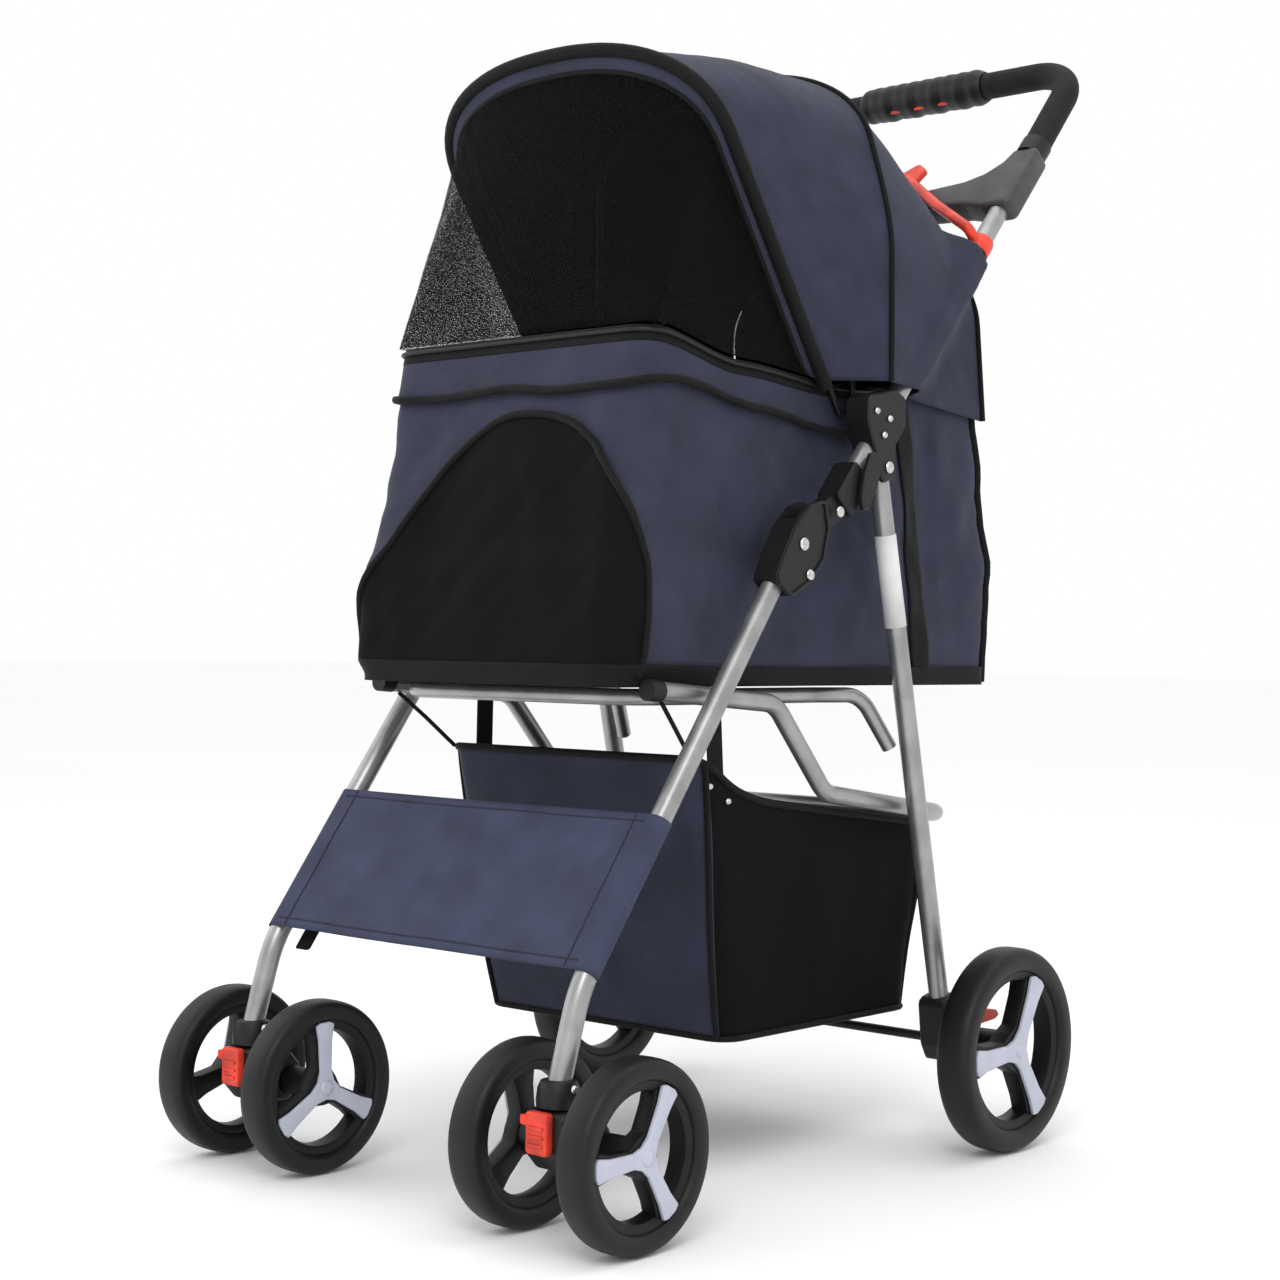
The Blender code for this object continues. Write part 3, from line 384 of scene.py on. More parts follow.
# ---- shaping helpers ------------------------------------------------------------------------
def finish(name, bm, look, body, smooth=40, modifiers=()):
    """Makes the piece's object, gives it its material and its place on a body."""
    mesh = bpy.data.meshes.new(name)
    bm.to_mesh(mesh)
    bm.free()
    looks = look if isinstance(look, (list, tuple)) else [look]
    for one in looks:
        mesh.materials.append(one)
    mesh.shade_smooth()
    if smooth:
        mesh.set_sharp_from_angle(angle=math.radians(smooth))
    made = bpy.data.objects.new(name, mesh)
    bpy.context.scene.collection.objects.link(made)
    for kind, settings in modifiers:
        change = made.modifiers.new(kind.title(), kind)
        for key, value in settings.items():
            setattr(change, key, value)
    if modifiers:
        settle(made)
    if body:
        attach(made, body)
    return made


def settle(made):
    """Applies the piece's modifiers to its mesh."""
    graph = bpy.context.evaluated_depsgraph_get()
    ready = made.evaluated_get(graph)
    mesh = bpy.data.meshes.new_from_object(ready, preserve_all_data_layers=True, depsgraph=graph)
    made.modifiers.clear()
    made.data = mesh


def new_verts(grown):
    """The vertices in what an operator made."""
    return [g for g in grown if isinstance(g, bmesh.types.BMVert)]


def new_edges(grown, ring):
    """The edges in what an operator made that join two vertices of the ring."""
    inside = set(ring)
    return [g for g in grown if isinstance(g, bmesh.types.BMEdge) and set(g.verts) <= inside]


def metre_map(bm, place):
    """A UV map in metres: place gives each corner's point from where it is."""
    layer = bm.loops.layers.uv.new("UVMap")
    for face in bm.faces:
        for loop in face.loops:
            loop[layer].uv = place(loop.vert.co)


def from_above(co):
    """For level pieces."""
    return co.x, co.y


def round_tube(co):
    """For bars and piping that run any way."""
    return co.x + co.y, co.z + 0.3 * co.y


def filleted(points, radius, steps=8):
    """A path with its corners rounded."""
    points = [Vector(p) for p in points]
    path = [points[0]]
    for before, corner, after in zip(points, points[1:], points[2:]):
        a = (before - corner).normalized()
        b = (after - corner).normalized()
        half = a.angle(b) / 2
        if half > 1.56:
            path.append(corner)
            continue
        reach = min(radius / math.tan(half), 0.45 * (before - corner).length,
                    0.45 * (after - corner).length)
        turn = reach * math.tan(half)
        centre = corner + (a + b).normalized() * (turn / math.sin(half))
        start = corner + a * reach - centre
        end = corner + b * reach - centre
        for step in range(steps + 1):
            path.append(centre + start.normalized().slerp(end.normalized(), step / steps)
                        * start.length)
    path.append(points[-1])
    return path


def bar(name, path, radius, look, body, sides=24, closed=False, swell=None, start=None):
    """A round bar, wire or piping along a path: one ring extruded from point to point."""
    path = [Vector(p) for p in path]
    count = len(path)
    bm = bmesh.new()
    ring = bmesh.ops.create_circle(bm, segments=sides, radius=1.0)["verts"]
    rings = [ring]
    edges = bm.edges[:]
    for _ in path[1:]:
        grown = bmesh.ops.extrude_edge_only(bm, edges=edges)["geom"]
        ring = new_verts(grown)
        edges = new_edges(grown, ring)
        rings.append(ring)
    across = None
    for i, (ring, point) in enumerate(zip(rings, path)):
        ahead = path[(i + 1) % count] if closed or i < count - 1 else point
        behind = path[i - 1] if closed or i > 0 else point
        tangent = (ahead - behind).normalized()
        if across is None:
            across = Vector(start) if start else tangent.orthogonal()
        across = (across - tangent * across.dot(tangent)).normalized()
        other = tangent.cross(across)
        for v in ring:
            angle = math.atan2(v.co.y, v.co.x)
            reach = radius * (swell(i / (count - 1), angle) if swell else 1.0)
            v.co = point + reach * (math.cos(angle) * across + math.sin(angle) * other)
    ends = [e for e in bm.edges if len(e.link_faces) == 1]
    if closed:
        bmesh.ops.bridge_loops(bm, edges=ends)
    else:
        bmesh.ops.holes_fill(bm, edges=ends, sides=0)
    bmesh.ops.recalc_face_normals(bm, faces=bm.faces)
    metre_map(bm, round_tube)
    return finish(name, bm, look, body, smooth=50)


def draped(name, shape, width, length, across, along_count, look, body, thickness=None,
           inner=None, wrap=False, offset=-1.0, region=None):
    """Cloth: a grid laid on shape(u, v), the outer face, with a UV map in metres.

    It is thickened inwards. wrap joins the first column to the last, and region(around)
    picks a column's material.
    """
    bm = bmesh.new()
    layer = bm.loops.layers.uv.new("UVMap")
    bmesh.ops.create_grid(bm, x_segments=across, y_segments=along_count, size=1.0)
    for face in bm.faces:
        for loop in face.loops:
            loop[layer].uv = ((loop.vert.co.x + 1) / 2 * width, (loop.vert.co.y + 1) / 2 * length)
    for v in bm.verts:
        v.co = shape((v.co.x + 1) / 2, (v.co.y + 1) / 2)
    if wrap:
        bmesh.ops.remove_doubles(bm, verts=bm.verts, dist=1e-5)
    bm.normal_update()
    inside = at(0, 0.10, 0.55)
    if sum(f.normal.dot(f.calc_center_median() - inside) * f.calc_area() for f in bm.faces) < 0:
        bmesh.ops.reverse_faces(bm, faces=bm.faces)
    looks = list(look) if isinstance(look, (list, tuple)) else [look]
    if region:
        for face in bm.faces:
            around = sum(loop[layer].uv.x for loop in face.loops) / len(face.loops) / width
            face.material_index = region(around)
    wall = {"thickness": thickness or sizes().cloth, "offset": offset, "use_even_offset": False}
    if inner is not None:
        wall["material_offset"] = len(looks)
        looks = looks + [inner] * len(looks)
    return finish(name, bm, looks, body, smooth=60, modifiers=[("SOLIDIFY", wall)])


def spun(bm, ring, axis, steps):
    """A closed ring of points turned once about an axis through the origin."""
    outline = [bm.verts.new(point) for point in ring]
    edges = [bm.edges.new((a, b)) for a, b in zip(outline, outline[1:] + outline[:1])]
    bmesh.ops.spin(bm, geom=outline + edges, cent=(0, 0, 0), axis=axis, angle=2 * math.pi,
                   steps=steps, use_merge=True)


def revolved(bm, profile, centre, steps):
    """A closed ring turned about an axis along X; the profile holds (x, radius) points."""
    before = set(bm.verts)
    spun(bm, [(x, 0, radius) for x, radius in profile], (1, 0, 0), steps)
    made = [v for v in bm.verts if v not in before]
    bmesh.ops.remove_doubles(bm, verts=made, dist=1e-6)
    made = [v for v in bm.verts if v not in before]
    bmesh.ops.translate(bm, verts=made, vec=centre)


def slab(bm, outline, place, thickness, bevel=0.0008, segments=2):
    """A flat outline raised to a thickness: place(a, b, h) gives the point at height h."""
    start = len(bm.verts)
    face = bm.faces.new([bm.verts.new(place(a, b, 0)) for a, b in outline])
    grown = bmesh.ops.extrude_face_region(bm, geom=[face])
    shift = place(0, 0, thickness) - place(0, 0, 0)
    bmesh.ops.translate(bm, verts=new_verts(grown["geom"]), vec=shift)
    bm.verts.ensure_lookup_table()
    mine = bm.verts[start:]
    faces = list(dict.fromkeys(f for v in mine for f in v.link_faces))
    bmesh.ops.recalc_face_normals(bm, faces=faces)
    if bevel:
        way = shift.normalized()
        rim = [e for f in faces for e in f.edges
               if abs((e.verts[0].co - e.verts[1].co).dot(way)) < 1e-7]
        bmesh.ops.bevel(bm, geom=list(dict.fromkeys(rim)), offset=bevel, segments=segments,
                        profile=0.5, affect="EDGES", material=-1, clamp_overlap=True)
    bmesh.ops.triangulate(bm, faces=[f for f in bm.faces if len(f.verts) > 12])


def rounded(points, radius, steps=4):
    """A closed outline with its corners rounded."""
    count = len(points)
    closed = []
    for i in range(count):
        before, corner, after = (Vector(points[(i + d) % count]) for d in (-1, 0, 1))
        a, b = (before + corner) / 2, (after + corner) / 2
        bend = filleted([(*a, 0), (*corner, 0), (*b, 0)], radius, steps)[1:-1]
        closed += [(p.x, p.y) for p in bend]
    return closed


def rivet(bm, point, axis, radius, height=0.0022):
    """A domed rivet head."""
    profile = [(0.0, radius), (height * 0.45, radius * 0.92), (height * 0.85, radius * 0.6),
               (height, 0.0)]
    turn = Vector((0, 0, 1)).rotation_difference(Vector(axis)).to_matrix().to_4x4()
    made = bmesh.ops.create_circle(bm, segments=20, radius=radius, cap_ends=True)["verts"]
    rim = [e for v in made for e in v.link_edges]
    current = list(dict.fromkeys(rim))
    for lift, size in profile[1:-1]:
        grown = bmesh.ops.extrude_edge_only(bm, edges=current)["geom"]
        ring = new_verts(grown)
        for v in ring:
            v.co = Vector((v.co.x, v.co.y, 0)).normalized() * size + Vector((0, 0, lift))
        current = new_edges(grown, ring)
        made += ring
    bmesh.ops.holes_fill(bm, edges=current, sides=0)
    bmesh.ops.transform(bm, matrix=Matrix.Translation(point) @ turn, verts=made)


def rivets(name, places, body, radius):
    """Rivet heads of one size as one piece; places holds (point, axis) pairs."""
    bm = bmesh.new()
    for point, axis in places:
        rivet(bm, point, axis, radius)
    bmesh.ops.recalc_face_normals(bm, faces=bm.faces)
    return finish(name, bm, rivet_steel(), body)


def keep(look, *names):
    """Gives solids of the frame that stay visible their finish."""
    for name in names:
        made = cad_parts[name]
        made.data.materials.clear()
        made.data.materials.append(look)


# ---- frame tubes ----------------------------------------------------------------------------
def leg_point(z):
    """The (y, z) point of a front leg's centre line at a height."""
    return Vector((LEG_KNEE.x + (z - LEG_KNEE.y) / math.tan(LEG_ANGLE), z))


def leg_path(sign):
    """A front leg's line, bent at the knee, up to the fold bracket."""
    top = FOLD_PIVOT - LEG_DIR * 0.026
    return filleted([on_side(sign, LEG_X, LEG_FOOT), on_side(sign, LEG_X, LEG_KNEE),
                     on_side(sign, LEG_X, top)],
                    0.10)


def tubes():
    """The painted tubes, their caps, the axle and the blank label on one leg."""
    paint = silver_paint()
    down = (REAR_AXLE - REAR_PIVOT).normalized()
    for side, sign in SIDES:
        leg = bar(side + "_front_leg_tube", leg_path(sign), TUBE_R, paint, "front_frame")
        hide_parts(side + "_front_leg")
        foot = REAR_AXLE - down * 0.018
        line = [on_side(sign, LEG_X, REAR_PIVOT - down * 0.006), on_side(sign, LEG_X, foot)]
        rear = bar(side + "_rear_leg_tube", line, TUBE_R, paint, "rear_legs")
        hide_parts(side + "_rear_leg")
        line = [along_handle(-0.045, sign * LEG_X), along_handle(0.308, sign * LEG_X)]
        upper = bar(side + "_handle_upper_tube", line, TUBE_R, paint, "handle")
        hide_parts(side + "_handle_tube")
    side_points = [Vector((-0.133, 0.3885)), Vector((0.019, 0.377)), Vector((0.087, 0.3025)),
                   Vector((0.268, 0.277))]
    one = [on_side(1, 0.149, p) for p in side_points]
    other = [on_side(-1, 0.149, p) for p in side_points]
    hoop = bar("basket_tube_round", filleted(one + other[::-1], 0.030), 0.0075, paint,
               "basket_frame")
    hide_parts("basket_tube")
    for side, sign in SIDES:
        start, along = on_side(sign, 0.149, side_points[0]), Vector((0, 1, -0.075)).normalized()
        line = [start - along * 0.0022, start - along * 0.0008, start + along * 0.012]
        bar(side + "_tube_cap", line, 0.0082, black_nylon(), "basket_frame")
    half = [(0.1515, (0.1745, 0.338)), (0.139, (0.148, 0.3825)), (0.127, (0.10, 0.3825)),
            (0.127, (-0.128, 0.3825))]
    line = [on_side(1, *p) for p in half] + [on_side(-1, *p) for p in half[::-1]]
    floor = bar("floor_frame_round", filleted(line, 0.028), 0.0065, paint, "seat_frame")
    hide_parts("floor_frame")
    cross = leg_point(0.205)
    tie = bar("front_cross_round", [at(-0.160, *cross), at(0.160, *cross)], 0.006, paint,
              "front_frame")
    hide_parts("front_cross_tube")
    axle = bar("rear_axle_rod", [at(-0.244, *REAR_AXLE), at(0.244, *REAR_AXLE)], 0.004,
               black_nylon(), "rear_legs")
    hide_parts("rear_axle")
    label = bmesh.new()
    spot = on_side(1, LEG_X, REAR_PIVOT + down * 0.095)
    down3 = Vector((0, down.x, down.y))
    bmesh.ops.create_circle(label, segments=32, radius=TUBE_R + 0.0004)
    grown = bmesh.ops.extrude_edge_only(label, edges=label.edges[:])["geom"]
    bmesh.ops.translate(label, verts=new_verts(grown), vec=(0, 0, 0.078))
    turn = Vector((0, 0, 1)).rotation_difference(down3).to_matrix().to_4x4()
    bmesh.ops.transform(label, matrix=Matrix.Translation(spot - down3 * 0.039) @ turn,
                        verts=label.verts)
    bmesh.ops.recalc_face_normals(label, faces=label.faces)
    finish("leg_label", label, label_paper(), "rear_legs",
           modifiers=[("SOLIDIFY", {"thickness": 0.0002, "offset": 1.0})])


# ---- wheels and casters ---------------------------------------------------------------------
def arm_outline(reach, root, tip, hub, start):
    """Three arms that widen towards the rim, drawn around the hub as one outline."""
    outline = []
    for k in range(3):
        middle_angle = start + math.radians(120 * k)
        for along_arm, wide in ((root, -tip * 0.62), (reach * 0.72, -tip * 0.74),
                                (reach * 0.96, -tip),
                                (reach, -tip * 0.5), (reach, tip * 0.5), (reach * 0.96, tip),
                                (reach * 0.72, tip * 0.74), (root, tip * 0.62)):
            outline.append((along_arm * math.cos(middle_angle) - wide * math.sin(middle_angle),
                            along_arm * math.sin(middle_angle) + wide * math.cos(middle_angle)))
        between = middle_angle + math.radians(60)
        outline.append((hub * math.cos(between), hub * math.sin(between)))
    return rounded(outline, 0.003, 3)


def wheel(prefix, body, radius, width, outward, hub_reach, turn):
    """A tyre, a three-spoke rim and the cover on its outer side; turn is a spoke's angle."""
    centre = middle(prefix + "_tyre")
    half = width / 2
    seat = 0.76 * radius
    profile = []
    facets = 28
    for k in range(facets):
        angle = 2 * math.pi * k / facets
        c, s = math.cos(angle), math.sin(angle)
        power = 0.62 if s > 0 else 0.5
        x = half * math.copysign(abs(c) ** power, c)
        r = (radius + seat) / 2 + (radius - seat) / 2 * math.copysign(abs(s) ** 0.62, s)
        profile.append((x, r))
    bm = bmesh.new()
    revolved(bm, profile, centre, 96)
    for sidewall in (-1, 1):
        groove = seat + (radius - seat) * 0.30
        revolved(bm, [(sidewall * half * 0.93, groove - 0.0012),
                      (sidewall * (half - 0.0002), groove),
                      (sidewall * half * 0.93, groove + 0.0012)], centre, 96)
    bmesh.ops.recalc_face_normals(bm, faces=bm.faces)
    tyre = finish(prefix + "_tyre_round", bm, tyre_rubber(), body, smooth=35)
    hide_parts(prefix + "_tyre")

    bm = bmesh.new()
    rim = seat + 0.0015
    deep = half * 0.66
    revolved(bm, [(-deep, rim), (-deep, rim - 0.004), (-deep * 0.80, rim - 0.0075),
                  (-deep * 0.3, rim - 0.0085),
                  (deep * 0.3, rim - 0.0085), (deep * 0.80, rim - 0.0075), (deep, rim - 0.004),
                  (deep, rim)],
             centre, 96)
    hub = 0.0135 if radius == FRONT_R else 0.0165
    bore = 0.0044
    low, high = sorted((-outward * hub_reach, outward * deep * 0.92))
    revolved(bm, [(low, bore), (low, hub * 0.80), (low + 0.002, hub * 0.86),
                  (-deep * 0.7, hub * 0.9),
                  (0, hub), (high - 0.002, hub), (high, hub * 0.85), (high, bore)], centre, 48)

    def spoke(a, b, h):
        return centre + Vector((outward * (deep - 0.0004) - outward * h, a, b))

    outline = arm_outline(rim - 0.0075 + 0.002, hub + 0.002, 0.0112 * radius / FRONT_R, hub + 0.001,
                          turn)
    slab(bm, outline, spoke, half * 0.98)
    bmesh.ops.recalc_face_normals(bm, faces=bm.faces)
    wheel_rim = finish(prefix + "_rim_spoked", bm, rim_nylon(), body, smooth=35)
    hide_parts(prefix + "_rim")

    bm = bmesh.new()
    outline = arm_outline(rim - 0.0018, hub, 0.0088 * radius / FRONT_R, hub * 0.70, turn)

    def cover(a, b, h):
        return centre + Vector((outward * (deep + h), a, b))

    slab(bm, outline, cover, 0.0034, bevel=0.0009, segments=3)
    finish(prefix + "_cover", bm, cover_plastic(), body, smooth=35)
    bm = bmesh.new()
    rivet(bm, centre + Vector((outward * (deep + 0.0034), 0, 0)), (outward, 0, 0), 0.0062, 0.0022)
    bmesh.ops.recalc_face_normals(bm, faces=bm.faces)
    finish(prefix + "_hub_cap", bm, cover_plastic(), body)


def casters():
    """Both casters: wheels, body, pin and lock tab, and the collar on the leg above."""
    turns = {"left_front_outer": 62, "left_front_inner": 100, "right_front_inner": 92,
             "right_front_outer": 75}
    for side, sign in SIDES:
        for place, way in (("outer", sign), ("inner", -sign)):
            prefix = f"{side}_front_{place}"
            wheel(prefix, f"wheel_front_{side}_{place}", FRONT_R, FRONT_WIDTH, way, 0.0315,
                  math.radians(turns[prefix]))
        x = sign * LEG_X
        bm = bmesh.new()
        outline = rounded([(-0.262, 0.097), (-0.262, 0.066), (-0.250, 0.053), (-0.222, 0.052),
                           (-0.2100, 0.062), (-0.2105, 0.080), (-0.226, 0.097)], 0.007, 5)
        slab(bm, outline, lambda a, b, h: at(x - 0.0195 + h, a, b), 0.039, bevel=0.005, segments=4)
        hub = [(-0.0205, 0.0045), (-0.0205, 0.0125), (-0.018, 0.0145), (0.018, 0.0145),
               (0.0205, 0.0125), (0.0205, 0.0045)]
        revolved(bm, hub, at(x, *CASTER_AXLE), 40)
        bmesh.ops.recalc_face_normals(bm, faces=bm.faces)
        yoke = finish(side + "_caster_body", bm, black_nylon(), f"caster_{side}")
        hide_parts(side + "_caster_yoke")
        pin = bar(side + "_caster_pin", [at(x - 0.066, *CASTER_AXLE), at(x + 0.066, *CASTER_AXLE)],
                  0.0039, rivet_steel(), f"caster_{side}")
        bm = bmesh.new()
        ring = [(0.0088, 0.0), (0.0158, 0.0), (0.0160, 0.005), (0.0150, 0.013), (0.0128, 0.018),
                (0.0088, 0.019)]
        spun(bm, [(r, 0, z) for r, z in ring], (0, 0, 1), 40)
        bmesh.ops.translate(bm, verts=bm.verts, vec=at(x, STEM_Y, 0.0985))
        bmesh.ops.recalc_face_normals(bm, faces=bm.faces)
        collar = finish(side + "_leg_collar", bm, black_nylon(), "front_frame")
        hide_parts(side + "_caster_socket")
        rivets(side + "_collar_pin", [(at(x + 0.0152, STEM_Y, 0.112), (1, 0, 0))], "front_frame",
               0.0032)
        lock(side, x)
        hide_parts(side + "_caster_axle")


def lock(side, x):
    """The red tab: a ribbed thumb plate with a nub on its upper corner."""
    bm = bmesh.new()
    front, foot = -0.2613, 0.067

    def block(half_left, half_right, low, high, start, depth, corner, bevel, segments=2):
        """A block that stands forward of the tab's back by start to start + depth."""
        outline = [(half_left, low), (half_right, low), (half_right, high), (half_left, high)]
        if corner:
            outline = rounded(outline, *corner)
        slab(bm, outline, lambda a, b, h: at(x + a, front - start - h, foot + b), depth, bevel,
             segments)

    block(-0.0105, 0.0105, 0.0, 0.030, 0.0, 0.0075, (0.003, 3), 0.0018, 3)
    block(-0.0155, -0.006, 0.020, 0.027, 0.001, 0.006, (0.002, 2), 0.0012)
    for k in range(3):
        block(-0.007, 0.007, 0.006 + 0.006 * k, 0.008 + 0.006 * k, 0.0072, 0.0014, None, 0.0004)
    bmesh.ops.recalc_face_normals(bm, faces=bm.faces)
    tab = finish(side + "_lock_tab", bm, red_plastic(), f"lock_{side}")
    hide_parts(side + "_swivel_lock")


def rear_wheels():
    for (side, sign), turn in zip(SIDES, (63, 80)):
        wheel(side + "_rear", f"wheel_rear_{side}", REAR_R, REAR_WIDTH, sign, 0.0405,
              math.radians(turn))


# ---- brackets -------------------------------------------------------------------------------
def brackets():
    """The finishes of the bracket solids, with a raised rim and rivets on the fold brackets."""
    black = black_nylon()
    for side, sign in SIDES:
        keep(black, side + "_fold_bracket", side + "_hinge_arm", side + "_upper_bracket",
             side + "_brake_housing")
        keep(rivet_steel(), side + "_fold_pin")
        keep(red_plastic(), side + "_brake_lever")
        face = sign * (LEG_X + 0.0126)
        leaf = []
        across = Vector((-LEG_DIR.y, LEG_DIR.x))
        for along, wide in ((-0.043, -0.011), (-0.020, -0.0225), (0.006, -0.0265), (0.029, -0.017),
                            (0.0435, 0.0), (0.029, 0.011), (0.004, 0.016), (-0.022, 0.014),
                            (-0.043, 0.010)):
            leaf.append(FOLD_PIVOT + LEG_DIR * along + across * wide)
        path = [at(face, *p) for p in rounded(leaf, 0.008, 4)]
        bar(side + "_bracket_rim", path, 0.0014, black, "front_frame", sides=10,
            closed=True)
        arm, axle = sign * (LEG_X + 0.0114), sign * (LEG_X + 0.0134)
        for name, points, body, radius in (
                ("fold_rivets", [at(face, 0.0200, 0.479)], "front_frame", 0.0046),
                ("pivot_rivet", [at(face, *FOLD_PIVOT)], "front_frame", 0.0054),
                ("arm_rivet", [at(arm, 0.0600, 0.531)], "handle", 0.0046),
                ("bracket_rivets", [at(face, 0.107, 0.616), at(face, 0.125, 0.611),
                                    at(face, 0.1175, 0.597)],
                 "handle", 0.0030),
                ("leg_rivet", [at(face, *REAR_PIVOT)], "handle", 0.0050),
                ("axle_rivet", [at(axle, 0.228, 0.108)], "rear_legs", 0.0035)):
            rivets(f"{side}_{name}", [(point, (sign, 0, 0)) for point in points], body, radius)
    keep(black, "safety_hook")


# ---- handle ---------------------------------------------------------------------------------
def handle():
    """The yoke, the grips with their collars, the ridged housing and the red parts."""
    outer = LEG_X + 0.0145
    inner = LEG_X - 0.0135
    top = [(outer + 0.001, 0.385), (inner + 0.003, 0.385), (inner - 0.003, 0.369),
           (inner - 0.016, 0.356), (inner - 0.034, 0.3485), (0.085, 0.344), (0.0, 0.342)]
    low = [(0.0, 0.317), (0.085, 0.3175), (inner - 0.020, 0.3145), (inner, 0.3085), (outer, 0.3085)]
    outline = top + [(-x, s) for x, s in top[-2::-1]] + [(-x, s) for x, s in low[::-1][:-1]] + low
    bm = bmesh.new()
    slab(bm, rounded(outline, 0.009, 3), lambda a, b, h: along_handle(b, a, -0.0118 + h), 0.0236,
         bevel=0.0045, segments=4)
    yoke = finish("handle_yoke_smooth", bm, grey_nylon(), "handle", smooth=30)
    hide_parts("handle_yoke")
    for side, sign in SIDES:
        path = filleted([along_handle(0.3853, sign * 0.171), along_handle(GRIP_TOP, sign * 0.171),
                         along_handle(GRIP_TOP, sign * 0.0703)], 0.045, 14)
        grip = bar(side + "_grip_sleeve", path, 0.0125, grip_foam(), "handle", sides=28)
        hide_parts(side + "_grip")
        rings = (0.383, 0.1705), (0.386, 0.1706), (0.399, 0.171), (0.401, 0.171)
        line = [along_handle(s, sign * x) for s, x in rings]
        bar(side + "_grip_collar", line, 0.0137, black_nylon(), "handle", sides=28)
    path = [along_handle(GRIP_TOP, x / 60 * 0.0699) for x in range(-60, 61)]

    def ridged(share, angle):
        """Finger ridges on the under side, a smooth palm side and drawn-in ends."""
        end = 1 - 0.20 * max(0, (abs(share * 2 - 1) - 0.86) / 0.14) ** 2
        under = max(0.0, math.cos(angle - math.pi))
        return end * (1.0 + 0.055 * math.cos(share * math.pi * 10) * under + 0.02
                      * math.sin(share * math.pi * 20))

    housing = bar("grip_housing_ridged", path, 0.0172, black_nylon(), "handle",
                  sides=40, swell=ridged, start=HANDLE_DIR)
    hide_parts("grip_housing")
    screws = [(along_handle(GRIP_TOP - 0.002, x, -0.0160), -HANDLE_NORMAL) for x in (-0.052, 0.052)]
    rivets("housing_screws", screws, "handle", 0.0035)
    under = GRIP_TOP - 0.0152
    ends = (under + 0.0015, -0.034), (under, -0.030), (under, 0.030), (under + 0.0015, 0.034)
    line = [along_handle(s, x) for s, x in ends]
    lever = bar("trigger_lever", line, 0.0034, red_plastic(), "trigger", sides=16,
                swell=lambda share, angle: 0.55 if 0 < share < 1 else 1.0)
    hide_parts("release_trigger")
    release_bar()


def release_bar():
    """The bowed red rod, the sliders at its ends and the tip beside its crown."""
    lift, low = 0.0225, 0.010
    half = [(LEG_X, 0.0), (0.118, 0.040), (0.068, 0.084), (0.030, 0.106), (0.0, 0.112)]
    points = [along_handle(SLIDER_AT, LEG_X, low)]
    points += [along_handle(SLIDER_AT + s, x, lift) for x, s in half]
    points += [along_handle(SLIDER_AT + s, -x, lift) for x, s in half[-2::-1]]
    path = filleted([*points, along_handle(SLIDER_AT, -LEG_X, low)], 0.03, 8)
    red = red_plastic()
    rod = bar("release_rod", path, 0.0048, red, "release_bar", sides=20)
    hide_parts("release_bar")
    for side, sign in SIDES:
        bm = bmesh.new()
        ring = [(0.0088, -0.008), (0.0104, -0.008), (0.0110, -0.006), (0.0110, 0.006),
                (0.0104, 0.008), (0.0088, 0.008)]
        spun(bm, [(r, 0, z) for r, z in ring], (0, 0, 1), 40)
        turn = Vector((0, 0, 1)).rotation_difference(HANDLE_DIR).to_matrix().to_4x4()
        spot = Matrix.Translation(along_handle(SLIDER_AT, sign * LEG_X))
        bmesh.ops.transform(bm, matrix=spot @ turn, verts=bm.verts)
        bmesh.ops.recalc_face_normals(bm, faces=bm.faces)
        finish(side + "_slider", bm, red, "release_bar")
    bm = bmesh.new()
    tip = rounded([(0.052, 0.088), (0.078, 0.074), (0.084, 0.094), (0.072, 0.104)], 0.004, 3)
    slab(bm, tip, lambda a, b, h: along_handle(SLIDER_AT + b, a, lift - 0.003 + h), 0.006,
         bevel=0.0015, segments=3)
    finish("release_tip", bm, red, "release_bar")


# ---- canopy ---------------------------------------------------------------------------------
def arch(half, top, rise, power=2.35, count=60):
    """A hoop's line as (x, s): two straight legs under a rounded arch, from +x to -x."""
    points = [Vector((half, 0.0))]
    for k in range(count + 1):
        angle = math.pi * k / count
        c, s = math.cos(angle), math.sin(angle)
        points.append(Vector((half * math.copysign(abs(c) ** (2 / power), c),
                              top - rise + rise * abs(s) ** (2 / power))))
    points.append(Vector((-half, 0.0)))
    return points


def along(points, share):
    """The point at a share of a line's length."""
    lengths = [0.0]
    for a, b in zip(points, points[1:]):
        lengths.append(lengths[-1] + (b - a).length)
    want = lengths[-1] * min(max(share, 0), 1)
    for k in range(1, len(points)):
        if lengths[k] >= want - 1e-12:
            part = (want - lengths[k - 1]) / max(lengths[k] - lengths[k - 1], 1e-12)
            return points[k - 1].lerp(points[k], part)
    return points[-1]


FRONT_ARCH = arch(0.1500, 0.344, 0.098)
INNER_ARCH = arch(0.1400, 0.329, 0.094)
MID_ARCH = arch(0.1500, 0.302, 0.082)
REAR_ARCH = arch(0.1415, 0.156, 0.072)
SEAM_V = 0.45  # where the seam over the rear hoop lies, from front to rear
TRIM_STEPS = 80


def hoop_line(hoop, shape, u, lift, foot):
    """A point at share u of a hoop's line, with the line's feet moved up to foot."""
    p = along(shape, u)
    top = max(q.y for q in shape)
    return in_hoop(hoop, p.x, foot + (top - foot) * p.y / top, lift)


def rear_line(u):
    """The canopy's rear edge: up one side, over the top and down the other."""
    p = along(REAR_ARCH, u)
    height = CABIN_RIM - 0.024 + p.y
    return at(p.x, 0.322 - 0.127 * (height - CABIN_RIM), height)


def ease(share):
    """A smooth step from 0 to 1."""
    share = min(max(share, 0.0), 1.0)
    return share * share * (3 - 2 * share)


